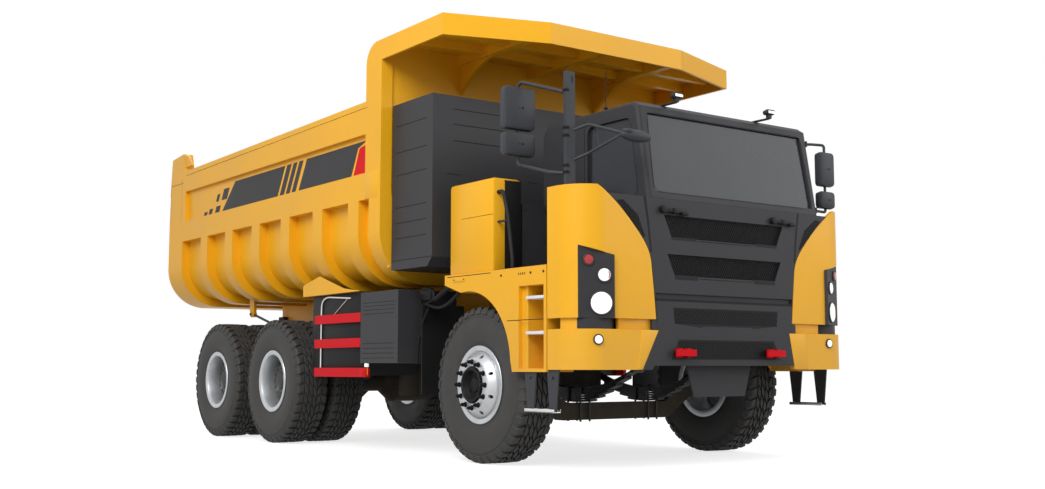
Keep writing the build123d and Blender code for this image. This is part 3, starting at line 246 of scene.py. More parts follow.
lacquer = shade(0.6, (0.97, 1.0, 1.03))
wheel_silver = metal("wheel_silver", "rim_silver", lacquer, 0.32, (3.0, 1.0, 1.0), 0.75)
hard_chrome = metal("hard_chrome", "chrome", shade(0.8), 0.09, (1.0, 1.0, 9.0))
drawn_tube = metal("drawn_tube", "alloy", shade(0.75), 0.24, (1.0, 1.0, 6.0))
dark_steel = metal("dark_steel", "frame_grey", shade(0.05), 0.42, metallic=0.6)
mirror_glass = metal("mirror_glass", "chrome", shade(0.62, (0.95, 1.0, 1.02)), 0.04)


# %% [markdown]
# The cab's panes are laminated glass with a grey tint: dark from outside, with a soft
# reflection. Lamp lenses are clear plastic over a pale reflector.


# %% Glass and lenses
def tinted_glass():
    """Dark glass, hardly see-through."""
    pane = Finish("tinted_glass", "glass")
    smear = pane.ramp(pane.noise(3.0, 5.0), 0.45, 0.8)
    return pane.wear(
        Base_Color=pane.mix(smear * 0.5, (0.03, 0.034, 0.042, 1.0), (0.045, 0.047, 0.054, 1.0)),
        Roughness=smear * 0.05 + 0.16,
        Specular_IOR_Level=0.25,
        Transmission_Weight=0.25,
        IOR=1.42,
    )


def lens(name, colour, glow):
    """Clear lens with moulded flutes over a reflector."""
    cover = Finish(name, "lamp")
    flutes = cover.add("TexWave", {"bands_direction": "X"}, 1, Vector=cover.place, Scale=26.0)
    cells = cover.add("TexVoronoi", None, 0, Vector=cover.place, Scale=90.0)
    paler = tuple(min(1.0, part * 0.86) for part in colour[:3]) + (1.0,)
    return cover.wear(
        Base_Color=cover.mix(cells, colour, paler),
        Roughness=0.12,
        Coat_Weight=0.8,
        Emission_Color=colour,
        Emission_Strength=glow,
        Normal=cover.relief(flutes, 0.0006, 0.5),
    )


cab_pane = tinted_glass()
clear_lens = lens("clear_lens", (0.93, 0.94, 0.95, 1.0), 0.5)
red_lens = lens("red_lens", (0.42, 0.002, 0.003, 1.0), 0.05)

# %% [markdown]
# Each solid of the frame keeps its shape and only changes its finish. Most take the finish of
# their slot in the record; a few are named here because one slot covers two real materials.

# %% Dress the solids
slot_finish = {
    "yellow": yellow_paint, "charcoal": cabinet_paint, "frame_grey": chassis_paint, "tyre": tyre_rubber,
    "rim_silver": wheel_silver, "glass": cab_pane, "plastic": black_trim, "red": red_paint,
    "tread_white": pale_paint, "chrome": hard_chrome, "mirror_grey": mirror_trim, "lamp": clear_lens,
    "rubber": seal_rubber, "alloy": drawn_tube,
}
own_finish = {
    "front_panel": front_trim, "lower_bumper": front_trim, "cab_shell": front_trim, "cab_door": front_trim,
    "lamps": front_trim,
}
for name, node in nodes.items():
    slot = node.data.materials[0].name.split(".")[0] if node.data.materials else "charcoal"
    finish = own_finish.get(name) or slot_finish.get(slot, cabinet_paint)
    for number in range(len(node.data.materials)):
        node.data.materials[number] = finish.material
    print(name, "wears", finish.material.name)

# %% [markdown]
# Every new piece goes through the same last step: normals outwards, smooth faces with sharp
# edges kept, a finish, and the body it moves with. The place of a piece is in its mesh, so
# its object stays at the origin like the solids' own.


# %% Finish a piece
def piece(bm, name, finish, body, stands_for=(), crease=32):
    """Turns a bmesh into a piece that rides on a body."""
    bmesh.ops.remove_doubles(bm, verts=bm.verts, dist=0.00001)
    bmesh.ops.recalc_face_normals(bm, faces=bm.faces)
    mesh = bpy.data.meshes.new(name)
    bm.to_mesh(mesh)
    bm.free()
    mesh.shade_smooth()
    mesh.set_sharp_from_angle(angle=radians(crease))
    mesh.materials.append(finish.material)
    made = bpy.data.objects.new(name, mesh)
    bpy.context.scene.collection.objects.link(made)
    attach(made, body)
    if stands_for:
        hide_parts(*stands_for)
    print(name, len(mesh.polygons), "faces")
    return made


def block(bm, low, high, edge=0.0, turn=None):
    """Box between two corners, with rounded edges; turn is a matrix about its own middle."""
    low, high = Vector(map(min, low, high)), Vector(map(max, low, high))
    made = bmesh.ops.create_cube(bm, size=1.0)["verts"]
    bmesh.ops.scale(bm, vec=high - low, verts=made)
    if turn:
        bmesh.ops.transform(bm, matrix=turn, verts=made)
    bmesh.ops.translate(bm, vec=(low + high) / 2, verts=made)
    if edge:
        edges = list({e for v in made for e in v.link_edges})
        soften(bm, edges, edge)


def soften(bm, edges, offset, segments=2):
    """Rounds edges."""
    bmesh.ops.bevel(bm, geom=edges, offset=offset, segments=segments, profile=0.5, affect="EDGES",
                    material=-1)


def drum(bm, radius, centre, axis, length, steps, edge=0.0):
    """Round bar about an axis through its middle."""
    turn = Vector((0, 0, 1)).rotation_difference(Vector(axis)).to_matrix().to_4x4()
    made = bmesh.ops.create_cone(bm, cap_ends=True, segments=steps, radius1=radius, radius2=radius,
                                 depth=length, matrix=Matrix.Translation(centre) @ turn)["verts"]
    if edge:
        around = {e for v in made for e in v.link_edges}
        ends = [e for e in around if len({len(f.verts) == steps for f in e.link_faces}) == 2]
        soften(bm, ends, edge)


def lathe(bm, profile, matrix, steps=96, closed=True):
    """Ring turned about a matrix's own Z; points are (distance along it, radius)."""
    points = [bm.verts.new(matrix @ Vector((r, 0, a))) for a, r in profile]
    pairs = list(zip(points, points[1:])) + ([(points[-1], points[0])] if closed else [])
    edges = [bm.edges.new(pair) for pair in pairs]
    turn_axis = matrix.to_3x3() @ Vector((0, 0, 1))
    bmesh.ops.spin(bm, geom=points + edges, cent=matrix.translation, axis=turn_axis, angle=2 * pi,
                   steps=steps, use_merge=True)


def axle(centre, outward=1):
    """Matrix at an axle, with its Z pointing outwards."""
    return Matrix.Translation(centre) @ Matrix.Rotation(outward * pi / 2, 4, "Y")


def prism(bm, outline, axis, start, depth):
    """Flat outline given extent along an axis; its points are the two other coordinates."""
    corner = {
        "x": lambda a, b: (start, a, b),
        "y": lambda a, b: (a, start, b),
        "z": lambda a, b: (a, b, start),
    }[axis]
    face = bm.faces.new([bm.verts.new(corner(a, b)) for a, b in outline])
    push = Vector([depth if axis == name else 0.0 for name in "xyz"])
    thicken(bm, [face], push)


def thicken(bm, faces, push):
    """Gives flat faces a thickness along a vector."""
    moved = bmesh.ops.extrude_face_region(bm, geom=faces)["geom"]
    bmesh.ops.translate(bm, vec=push, verts=[v for v in moved if isinstance(v, bmesh.types.BMVert)])


def merge(target, source):
    """Moves everything in one bmesh into another."""
    mesh = bpy.data.meshes.new("moved")
    source.to_mesh(mesh)
    source.free()
    target.from_mesh(mesh)
    bpy.data.meshes.remove(mesh)


# %% [markdown]
# Small fittings come back all over the truck: bent tubes, bolts with washers, and rubber seals
# that run round an opening. A tube is a curve with a bevel, read back as a mesh; its corners
# are rounded by moving along two short lines at once, which draws a parabola.

# %% Tubes, bolts and seals
def rounded(points, bend, closed):
    """Route whose corners are short curves."""
    points = [Vector(point) for point in points]
    corners = list(zip(points, points[1:], points[2:]))
    if closed:
        corners = list(zip(points[-1:] + points[:-1], points, points[1:] + points[:1]))
    route = []
    for before, corner, after in corners:
        start = corner + (before - corner).normalized() * min(bend, (before - corner).length * 0.48)
        end = corner + (after - corner).normalized() * min(bend, (after - corner).length * 0.48)
        for step in range(7):
            share = step / 6
            route.append(start.lerp(corner, share).lerp(corner.lerp(end, share), share))
    return route if closed else points[:1] + route + points[-1:]


def tube(bm, points, radius, bend=0.05, closed=False):
    """Adds a bent tube to a bmesh."""
    curve = bpy.data.curves.new("tube", "CURVE")
    curve.dimensions = "3D"
    curve.bevel_depth = radius
    curve.bevel_resolution = 3
    curve.use_fill_caps = True
    route = rounded(points, bend, closed)
    spline = curve.splines.new("POLY")
    spline.points.add(len(route) - 1)
    spline.use_cyclic_u = closed
    for point, place in zip(spline.points, route):
        point.co = (*place, 1.0)
    holder = bpy.data.objects.new("tube", curve)
    mesh = bpy.data.meshes.new_from_object(holder)
    bm.from_mesh(mesh)
    bpy.data.objects.remove(holder)
    bpy.data.curves.remove(curve)
    bpy.data.meshes.remove(mesh)


def bolt(bm, spot, axis, radius):
    """Hexagon head on a washer."""
    spot, axis = Vector(spot), Vector(axis)
    washer, head = 0.0026, radius * 0.7
    drum(bm, radius * 1.5, spot + axis * washer / 2, axis, washer, 16)
    drum(bm, radius, spot + axis * (washer + head / 2), axis, head, 6, radius * 0.12)


def seal(bm, outline, width, push):
    """Flat ring inside an outline of points in space, given a thickness."""
    face = bm.faces.new([bm.verts.new(point) for point in outline])
    ring = bmesh.ops.inset_region(bm, faces=[face], thickness=width, use_boundary=True,
                                  use_even_offset=True)["faces"]
    bmesh.ops.delete(bm, geom=[face], context="FACES_ONLY")
    thicken(bm, ring, Vector(push))


# %% [markdown]
# Most pieces are placed by their distance behind the front axle, and come once to a side: -1
# is the truck's right and 1 its left. The tyre gives the axle its place.

# %% Places
tyre_low, tyre_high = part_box("front_tyre_right")
front_axle = (tyre_high.y + tyre_low.y) / 2
sides = {"right": -1, "left": 1}


def behind(distance):
    """Place along Y, measured backwards from the front axle."""
    return front_axle + distance


def side_plate(bm, outline, start, depth):
    """Plate seen from the side; its points are (distance behind the front axle, height)."""
    prism(bm, [(behind(a), z) for a, z in outline], "x", start, depth)


def slab(bm, side, across, along, upwards, edge=0.0):
    """Box on one side of the truck, from its spans: outwards, behind the front axle, and up."""
    low, high = ((side * x, behind(a), z) for x, a, z in zip(across, along, upwards))
    block(bm, low, high, edge)


def front_plate(bm, outline, side, start, depth):
    """Plate seen from the front; its points are (distance from the middle, height)."""
    prism(bm, [(side * x, z) for x, z in outline], "y", start, depth)


# %% [markdown]
# A tyre starts as a turned carcass. Its sides bulge by a parabola about the widest place, and
# two thin ribs run round them. The lugs come after it: one pitch is modelled with spins of a
# few degrees, bevelled, and then repeated round the wheel by one more spin that duplicates.

# %% Tyres
tyre_radius = (tyre_high.z - tyre_low.z) / 2
tyre_half = (tyre_high.x - tyre_low.x) / 2
axle_z = (tyre_high.z + tyre_low.z) / 2
groove = 0.024
crown = tyre_radius - groove
bead = 0.331
lug_pitches = 40
pitch_angle = 2 * pi / lug_pitches


def carcass_profile():
    """Half of the tyre's section, from bead to crown, as (distance outward, radius)."""
    widest, pinch, shoulder = 0.555, 0.046, 0.672
    radii = [bead + (shoulder - bead) * step / 14 for step in range(15)]
    ribs = {0.395: 0.0, 0.4: 0.0022, 0.404: 0.0022, 0.409: 0.0}
    ribs.update({0.641: 0.0, 0.645: 0.0025, 0.65: 0.0025, 0.654: 0.0})
    side = []
    for radius in sorted(radii + list(ribs)):
        bulge = pinch * ((radius - widest) / (widest - bead)) ** 2
        side.append((tyre_half - 0.003 - bulge + ribs.get(radius, 0.0), radius))
    start = side[-1][0]
    for step in range(1, 6):
        turn = step / 5 * pi / 2
        side.append((start - 0.03 * (1 - cos(turn)), shoulder + (crown - shoulder) * sin(turn)))
    return side + [(0.09, crown + 0.001), (0.0, crown + 0.002)]


def lug(bm, section, centre, start, share, skew):
    """One lug: a section (distance outward, radius) turned through a share of the pitch."""
    x, y, z = centre
    first = pitch_angle * start
    points = [bm.verts.new((x + a, y, z + r)) for a, r in section]
    face = bm.faces.new(points)
    bmesh.ops.spin(bm, geom=[face], cent=centre, axis=(1, 0, 0), angle=pitch_angle * share, steps=2)
    made = {v for f in bm.faces for v in f.verts if not v.tag}
    for vert in made:
        vert.tag = True
        shear = Matrix.Rotation(first + skew * (vert.co.x - x), 4, "X")
        vert.co = Vector(centre) + shear @ (vert.co - Vector(centre))


def tread_sections(side):
    """Sections of the shoulder lug and of the two inner lugs on one side of the tread."""
    top = tyre_radius
    root = crown - 0.006
    shoulder = [(0.118, root), (0.118, top - 0.003), (0.172, top - 0.003), (0.186, top - 0.012),
                (tyre_half - 0.002, top - 0.07), (tyre_half - 0.014, top - 0.078), (0.17, root - 0.02)]
    middle = [(0.062, root), (0.062, top - 0.0005), (0.106, top - 0.0015), (0.106, root)]
    inner = [(0.007, root), (0.007, top), (0.05, top - 0.0004), (0.05, root)]
    return [[(side * a, r) for a, r in section] for section in (shoulder, middle, inner)]


def tyre(bm, centre):
    """A whole tyre about its centre."""
    half = carcass_profile()
    profile = half + [(-a, r) for a, r in reversed(half[:-1])]
    inside = [(-0.15, bead + 0.012), (0.15, bead + 0.012)]
    lathe(bm, profile + inside, axle(centre), 120)
    for vert in bm.verts:
        vert.tag = True
    before = set(bm.faces)
    for side in (-1, 1):
        shoulder, middle, inner = tread_sections(side)
        lug(bm, shoulder, centre, 0.0, 0.64, side * 0.5)
        lug(bm, middle, centre, 0.4 + 0.05 * side, 0.72, side * -1.6)
        lug(bm, inner, centre, 0.1 + 0.25 * side, 0.74, 2.4)
    lugs = [f for f in bm.faces if f not in before]
    edges = list({e for f in lugs for e in f.edges})
    bmesh.ops.recalc_face_normals(bm, faces=lugs)
    sharp = [e for e in edges if len(e.link_faces) == 2 and e.calc_face_angle(0) > radians(50)]
    soften(bm, sharp, 0.003, 1)
    lugs = [f for f in bm.faces if f not in before]
    geometry = lugs + list({e for f in lugs for e in f.edges}) + list({v for f in lugs for v in f.verts})
    bmesh.ops.spin(bm, geom=geometry, cent=centre, axis=(1, 0, 0), angle=2 * pi - pitch_angle,
                   steps=lug_pitches - 1, use_duplicate=True)


def tyre_centres(node):
    """Centres of the one or two tyres in a node."""
    low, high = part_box(node)
    middle_y = (low.y + high.y) / 2
    places = {round(low.x + tyre_half, 4), round(high.x - tyre_half, 4)}
    return [Vector((x, middle_y, axle_z)) for x in sorted(places)]


model = bmesh.new()
tyre(model, Vector((0, 0, 0)))
pattern = bpy.data.meshes.new("tyre_pattern")
model.to_mesh(pattern)
model.free()
for where in ("front", "middle", "rear"):
    for side_name in sides:
        node = f"{where}_tyre{'' if where == 'front' else 's'}_{side_name}"
        body = f"{where}_wheel{'' if where == 'front' else 's'}_{side_name}"
        bm = bmesh.new()
        for centre in tyre_centres(node):
            bm.from_mesh(pattern)
            fresh = [v for v in bm.verts if not v.tag]
            bmesh.ops.translate(bm, vec=centre, verts=fresh)
            for vert in bm.verts:
                vert.tag = True
        piece(bm, f"{node}_with_tread", tyre_rubber, body, [node], 28)
bpy.data.meshes.remove(pattern)

# %% [markdown]
# The front wheel's disc bulges outwards, past the rim's lip, with eight hand holes in its
# slope and twelve nuts on its flat ring. The black hub stands in the middle like a cup, with
# a small cap at the bottom of it. The holes are cut with a Boolean modifier, applied at once.

# %% Front wheels
lip_plane = 0.196
lip_radius = 0.374
barrel = bead - 0.0015
nut_circle = 0.217
nut_seat = 0.272
hand_circle = 0.281

barrel_profile = [
    (-lip_plane + 0.004, 0.308), (-lip_plane, 0.318), (-lip_plane, 0.371), (-lip_plane + 0.005, lip_radius),
    (-lip_plane + 0.012, 0.37), (-lip_plane + 0.012, barrel), (lip_plane - 0.012, barrel),
    (lip_plane - 0.012, 0.37), (lip_plane - 0.006, lip_radius), (lip_plane, 0.37), (lip_plane, 0.336),
    (lip_plane - 0.006, 0.322), (lip_plane - 0.03, 0.312), (0.06, 0.306),
]
disc_profile = [
    (0.14, 0.308), (0.166, 0.318), (0.196, 0.316), (0.214, 0.305), (0.239, hand_circle), (0.262, 0.259),
    (nut_seat, 0.246), (nut_seat + 0.002, 0.236), (nut_seat + 0.002, 0.178), (nut_seat - 0.014, 0.178),
    (nut_seat - 0.014, 0.238), (0.25, 0.25), (0.226, 0.272), (0.203, 0.293), (0.186, 0.302), (0.15, 0.302),
]
hub_profile = [
    (0.08, 0.15), (nut_seat - 0.01, 0.168), (0.29, 0.166), (0.297, 0.158), (0.297, 0.144), (0.288, 0.136),
    (0.246, 0.126), (0.236, 0.118), (0.236, 0.074), (0.25, 0.068), (0.254, 0.06), (0.254, 0.0), (0.08, 0.0),
]


def cut_holes(made, circle, radius, centre, outward, count, reach):
    """Drills a ring of holes along the axle."""
    drill = bmesh.new()
    for number in range(count):
        angle = 2 * pi * (number + 0.5) / count
        spot = Vector(centre) + Vector((outward * reach, circle * cos(angle), circle * sin(angle)))
        drum(drill, radius, spot, (1, 0, 0), 0.12, 20)
    mesh = bpy.data.meshes.new("drill")
    drill.to_mesh(mesh)
    drill.free()
    cutter = bpy.data.objects.new("drill", mesh)
    bpy.context.scene.collection.objects.link(cutter)
    boolean = made.modifiers.new("holes", "BOOLEAN")
    boolean.object = cutter
    boolean.solver = "EXACT"
    evaluated = made.evaluated_get(bpy.context.evaluated_depsgraph_get())
    made.data = bpy.data.meshes.new_from_object(evaluated)
    made.modifiers.clear()
    bpy.data.objects.remove(cutter)


def wheel_nut(bm, spot, outward, radius=0.021, height=0.042):
    """Flange nut with a hexagon and a rounded cap."""
    axis = (outward, 0, 0)
    drum(bm, radius * 1.25, spot + Vector((outward * 0.004, 0, 0)), axis, 0.008, 20, 0.002)
    drum(bm, radius, spot + Vector((outward * height / 2, 0, 0)), axis, height, 6, 0.002)
    drum(bm, radius * 0.62, spot + Vector((outward * (height + 0.008), 0, 0)), axis, 0.018, 16, 0.004)


for side_name, outward in sides.items():
    centre = tyre_centres(f"front_tyre_{side_name}")[0]
    body = f"front_wheel_{side_name}"
    bm = bmesh.new()
    lathe(bm, barrel_profile, axle(centre, outward))
    piece(bm, f"front_rim_barrel_{side_name}", wheel_silver, body, [f"front_rim_{side_name}"])
    bm = bmesh.new()
    lathe(bm, disc_profile, axle(centre, outward))
    disc = piece(bm, f"front_wheel_disc_{side_name}", wheel_silver, body)
    cut_holes(disc, hand_circle, 0.018, centre, outward, 8, 0.22)
    bm = bmesh.new()
    lathe(bm, hub_profile, axle(centre, outward), closed=False)
    for number in range(12):
        angle = 2 * pi * number / 12
        ring = Vector((0, cos(angle), sin(angle)))
        wheel_nut(bm, centre + ring * nut_circle + Vector((outward * nut_seat, 0, 0)), outward)
        if number % 2:
            spot = centre + ring * 0.097 + Vector((outward * 0.24, 0, 0))
            drum(bm, 0.011, spot, (1, 0, 0), 0.014, 6, 0.001)
    piece(bm, f"front_hub_{side_name}", black_trim, body)

# %% [markdown]
# Behind, two wheels sit on one hub. Their disc lies deep in the outer barrel, so the wheel
# is a dish with the planetary hub and its nuts standing in it.

# %% Twin wheels
dish_shift = 0.12
wheel_nuts = 12
deep_disc = [
    (-0.03, 0.315), (-0.012, 0.315), (0.0, 0.3), (0.004, 0.284), (0.004, 0.18), (-0.016, 0.18),
    (-0.016, 0.28),
]
planet_hub = [
    (-0.25, 0.16), (0.02, 0.182), (0.05, 0.182), (0.062, 0.2), (0.175, 0.2), (0.192, 0.19), (0.2, 0.172),
    (0.2, 0.11), (0.214, 0.1), (0.222, 0.08), (0.222, 0.0), (-0.25, 0.0),
]
for where in ("middle", "rear"):
    for side_name, outward in sides.items():
        body = f"{where}_wheels_{side_name}"
        centres = tyre_centres(f"{where}_tyres_{side_name}")
        middle = (centres[0] + centres[1]) / 2 + Vector((outward * dish_shift, 0, 0))
        bm = bmesh.new()
        for centre in centres:
            lathe(bm, barrel_profile, axle(centre, outward))
        piece(bm, f"{where}_rim_barrels_{side_name}", wheel_silver, body, [f"{where}_rims_{side_name}"])
        bm = bmesh.new()
        lathe(bm, deep_disc, axle(middle, outward))
        lathe(bm, planet_hub, axle(middle, outward), closed=False)
        for number in range(wheel_nuts):
            angle = 2 * pi * number / wheel_nuts
            ring = Vector((0, cos(angle), sin(angle)))
            wheel_nut(bm, middle + ring * 0.24 + Vector((outward * 0.003, 0, 0)), outward)
            spot = middle + ring * 0.155 + Vector((outward * 0.203, 0, 0))
            drum(bm, 0.009, spot, (1, 0, 0), 0.012, 6, 0.001)
        piece(bm, f"{where}_hub_{side_name}", dark_steel, body)

# %% [markdown]
# The grilles are punched honeycomb. One row of hexagons is enough to see how it works: place
# the hexagons, weld them, shrink each face towards its middle and delete it, and what is left
# is the web. In the two upper grilles it is a little larger than its opening and sits inside
# the panel's thickness, so the opening in the solid gives it its outline.

# %% Honeycomb grilles
front_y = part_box("front_panel")[0].y
cell = 0.03
web = 0.0046


def honeycomb(bm, outline, y, depth):
    """Hexagonal web inside a convex outline of (x, z) points, facing forwards."""
    low_x, high_x = min(p[0] for p in outline), max(p[0] for p in outline)
    low_z, high_z = min(p[1] for p in outline), max(p[1] for p in outline)
    sheet = bmesh.new()
    rise = cell * 0.866
    columns = int((high_x - low_x) / cell) + 2
    rows = int((high_z - low_z) / rise) + 2
    for row in range(rows):
        for column in range(columns):
            spot = Vector((low_x + (column + row % 2 / 2) * cell, y, low_z + row * rise))
            turn = Matrix.Rotation(pi / 2, 4, "X") @ Matrix.Rotation(pi / 6, 4, "Z")
            bmesh.ops.create_circle(sheet, cap_ends=True, segments=6, radius=cell / 1.7321,
                                    matrix=Matrix.Translation(spot) @ turn)
    bmesh.ops.remove_doubles(sheet, verts=sheet.verts, dist=0.0005)
    cells = list(sheet.faces)
    bmesh.ops.inset_individual(sheet, faces=cells, thickness=web / 2)
    bmesh.ops.delete(sheet, geom=cells, context="FACES_ONLY")
    mean_x, mean_z = (sum(values) / len(outline) for values in zip(*outline))
    middle = Vector((mean_x, y, mean_z))
    for (x0, z0), (x1, z1) in zip(outline, outline[1:] + outline[:1]):
        normal = Vector((z1 - z0, 0, x0 - x1))
        if normal.dot(middle - Vector((x0, y, z0))) > 0:
            normal = -normal
        bmesh.ops.bisect_plane(sheet, geom=list(sheet.verts) + list(sheet.edges) + list(sheet.faces),
                               plane_co=(x0, y, z0), plane_no=normal, clear_outer=True)
    loose = [v for v in sheet.verts if not v.link_faces]
    bmesh.ops.delete(sheet, geom=loose, context="VERTS")
    thicken(sheet, list(sheet.faces), Vector((0, depth, 0)))
    merge(bm, sheet)


def upright(x, low, high):
    """Rectangle of (x, z) points that is as wide to both sides."""
    return [(-x, low), (x, low), (x, high), (-x, high)]


grilles = {
    "upper": (0.8, 2.05, 2.285, 0.004), "second": (0.75, 1.69, 1.925, 0.004),
    "third": (0.7, 1.262, 1.452, 0.004), "intake": (0.705, 0.975, 1.165, 0.03),
}
for name, (half, low, high, inside) in grilles.items():
    bm = bmesh.new()
    honeycomb(bm, upright(half, low, high), front_y + inside, 0.008)
    piece(bm, f"{name}_grille_web", black_trim, "chassis")

# %% [markdown]
# Beside the centre panel are two wings. Each has a dark mesh along the yellow corner, and a
# broad rubber seam parts it from the centre. The wipers' black covers lie across the top.

# %% Wings, seams and wipers
wing_mesh = [(1.035, 2.066), (1.345, 2.368), (1.271, 2.376), (1.109, 2.262), (1.012, 2.065)]
seam_line = [(1.03, 2.425), (0.992, 2.22), (0.957, 1.93), (0.935, 1.93), (0.968, 2.22), (1.004, 2.425)]
for side_name, outward in sides.items():
    bm = bmesh.new()
    front_plate(bm, wing_mesh, outward, front_y - 0.0015, 0.003)
    honeycomb(bm, [(outward * x, z) for x, z in wing_mesh], front_y - 0.005, 0.004)
    piece(bm, f"wing_mesh_{side_name}", black_trim, "chassis")
    bm = bmesh.new()
    front_plate(bm, seam_line, outward, front_y - 0.0012, 0.003)
    piece(bm, f"wing_seam_{side_name}", seal_rubber, "chassis")
bm = bmesh.new()
for start in (-0.81, 0.635):
    drum(bm, 0.034, (start, front_y - 0.02, 2.323), (0, 1, 0), 0.045, 24, 0.006)
    block(bm, (start, front_y - 0.034, 2.301), (start + 0.27, front_y - 0.006, 2.333), 0.006)
    block(bm, (start + 0.11, front_y - 0.042, 2.294), (start + 0.17, front_y - 0.004, 2.34), 0.005)
    drum(bm, 0.016, (start + 0.255, front_y - 0.026, 2.3), (1, 0, 0), 0.08, 16, 0.003)
piece(bm, "wiper_covers", black_trim, "chassis")

# %% [markdown]
# The lamps stand on dark plates set at an angle into the yellow corners. Everything on such a
# plate is modelled flat, facing up, and one matrix then lays it into its place.

# %% Lamps
plate_turn = radians(24)
plate_bottom = 1.335
plate_top = 1.92
plate_half = 0.165
lamp_places = [(1.461, 0.095, -0.042, "clear"), (1.704, 0.055, -0.07, "clear"), (1.835, 0.042, 0.07, "red")]
corner_radius = 0.3
corner_turn = Vector((1.475, behind(-1.34), 0))
fog_places = {-1: (corner_turn.x, 15.5), 1: (1.43, 0.0)}


def facing(x_dir, out_dir, place):
    """Matrix whose X runs along x_dir and whose Z points out_dir, with Y upwards."""
    matrix = Matrix((x_dir, (0, 0, 1), out_dir)).transposed().to_4x4()
    matrix.translation = place
    return matrix


def lamp_plate(side):
    """Matrix of a lamp plate, at ground level."""
    x_dir = (cos(plate_turn), side * sin(plate_turn), 0)
    out_dir = (side * sin(plate_turn), -cos(plate_turn), 0)
    return facing(x_dir, out_dir, (side * 1.548, behind(-1.6), 0))


def fog_place(side):
    """Matrix on the front of a lower corner."""
    x, degrees = fog_places[side]
    turn = radians(degrees)
    corner = Vector((side * x, corner_turn.y, 1.148))
    out_dir = Vector((side * sin(turn), -cos(turn), 0))
    return facing((cos(turn), side * sin(turn), 0), out_dir, corner + out_dir * corner_radius)


housings = bmesh.new()
rings = bmesh.new()
lenses = {"clear": bmesh.new(), "red": bmesh.new()}
for side in sides.values():
    plate = bmesh.new()
    slope = side * 0.04
    outline = [(-plate_half, plate_bottom), (plate_half, plate_bottom), (plate_half, plate_top + slope),
               (-plate_half, plate_top - slope)]
    prism(plate, outline, "z", -0.04, 0.042)
    bmesh.ops.transform(plate, matrix=lamp_plate(side), verts=plate.verts)
    merge(housings, plate)
    spots = [(lamp_plate(side) @ Matrix.Translation((side * shift, z, 0.001)), radius, kind)
             for z, radius, shift, kind in lamp_places]
    spots.append((fog_place(side), 0.036, "clear"))
    for spot, radius, kind in spots:
        inner, outer = radius + 0.001, radius + 0.011
        ring = [(0.0, outer), (0.011, outer), (0.015, outer - 0.004), (0.015, inner), (0.0, inner)]
        lathe(rings, ring, spot, 48)
        dome = [(0.0, radius), (0.012, radius), (0.017, radius * 0.93), (0.021, radius * 0.6), (0.022, 0.0)]
        lathe(lenses[kind], dome, spot, 48, closed=False)
    ring_place = lamp_plate(side) @ Matrix.Translation((side * -0.07, 1.704, 0.021))
    red = lenses["red"]
    ends = [red.verts.new(ring_place @ Vector(end)) for end in ((0.03, -0.024, 0), (0.037, -0.03, 0))]
    bmesh.ops.spin(red, geom=ends + [red.edges.new(ends)], cent=ring_place.translation,
                   axis=ring_place.to_3x3() @ Vector((0, 0, 1)), angle=radians(80), steps=12)
tilt = Matrix.Rotation(radians(-14), 4, "X")
for x in (-0.549, 0.702):
    block(housings, (x - 0.025, behind(-1.56), 3.3453), (x + 0.025, behind(-1.3), 3.357), 0.004)
    block(housings, (x - 0.02, behind(-1.585), 3.35), (x + 0.03, behind(-1.545), 3.41), 0.008)
    block(housings, (x - 0.06, behind(-1.61), 3.388), (x + 0.062, behind(-1.535), 3.434), 0.018, tilt)
    glass_low, glass_high = (x - 0.045, behind(-1.613), 3.396), (x + 0.047, behind(-1.606), 3.422)
    block(lenses["clear"], glass_low, glass_high, 0.002, tilt)
piece(housings, "lamp_housings", front_trim, "chassis", ["lamps"])
piece(rings, "lamp_rings", dark_steel, "chassis")
piece(lenses["clear"], "clear_lenses", clear_lens, "chassis")
piece(lenses["red"], "red_lenses", red_lens, "chassis")

# %% [markdown]
# The cab's panes sit in rubber. The windscreen leans back, so its seal's points take their
# place along Y from their height.

# %% Cab seals and seams
cab_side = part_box("cab_shell")[0].x
cab_left_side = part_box("cab_door")[0].x + 0.06
pane_low, pane_high = 2.454, 3.197
pane_rear = behind(-0.756)


def screen_y(z):
    """Place of the windscreen's outer face at a height."""
    return behind(-1.61 + 0.145 * max(z - 2.432, 0) / 0.868)


def side_seal(bm, x, out):
    """Rubber round the window in one side of the cab."""
    front_low, front_high = screen_y(pane_low) + 0.131, screen_y(pane_high) + 0.112
    window = [(front_low, pane_low), (front_high, pane_high), (pane_rear, pane_high), (pane_rear, pane_low)]
    outline = rounded([(x + out * 0.0005, y, z) for y, z in window], 0.1, closed=True)
    seal(bm, outline, 0.014, (out * 0.004, 0, 0))


screen = [(-0.862, 2.488), (1.282, 2.488), (1.256, 3.242), (-0.836, 3.242)]
bm = bmesh.new()
outline = rounded([(x, screen_y(z) - 0.001, z) for x, z in screen], 0.09, closed=True)
seal(bm, outline, 0.02, (0, -0.004, 0.0008))
side_seal(bm, cab_side, -1)
block(bm, (cab_side - 0.001, behind(-1.55), 2.423), (cab_side + 0.002, behind(-0.1), 2.433))
block(bm, (cab_side - 0.001, behind(-0.71), 1.85), (cab_side + 0.002, behind(-0.702), 3.26))
piece(bm, "cab_seals", seal_rubber, "chassis")
bm = bmesh.new()
side_seal(bm, cab_left_side, 1)
piece(bm, "door_seal", seal_rubber, "door")

bm = bmesh.new()
drum(bm, 0.022, (-0.9, behind(-0.98), 3.352), (0, 0, 1), 0.02, 20, 0.004)
drum(bm, 0.0035, (-0.9, behind(-0.98), 3.53), (0, 0, 1), 0.35, 8)
piece(bm, "cab_aerial", black_trim, "chassis")

# %% [markdown]
# Mirror heads are soft moulded shells with two screws in front and silvered glass behind.

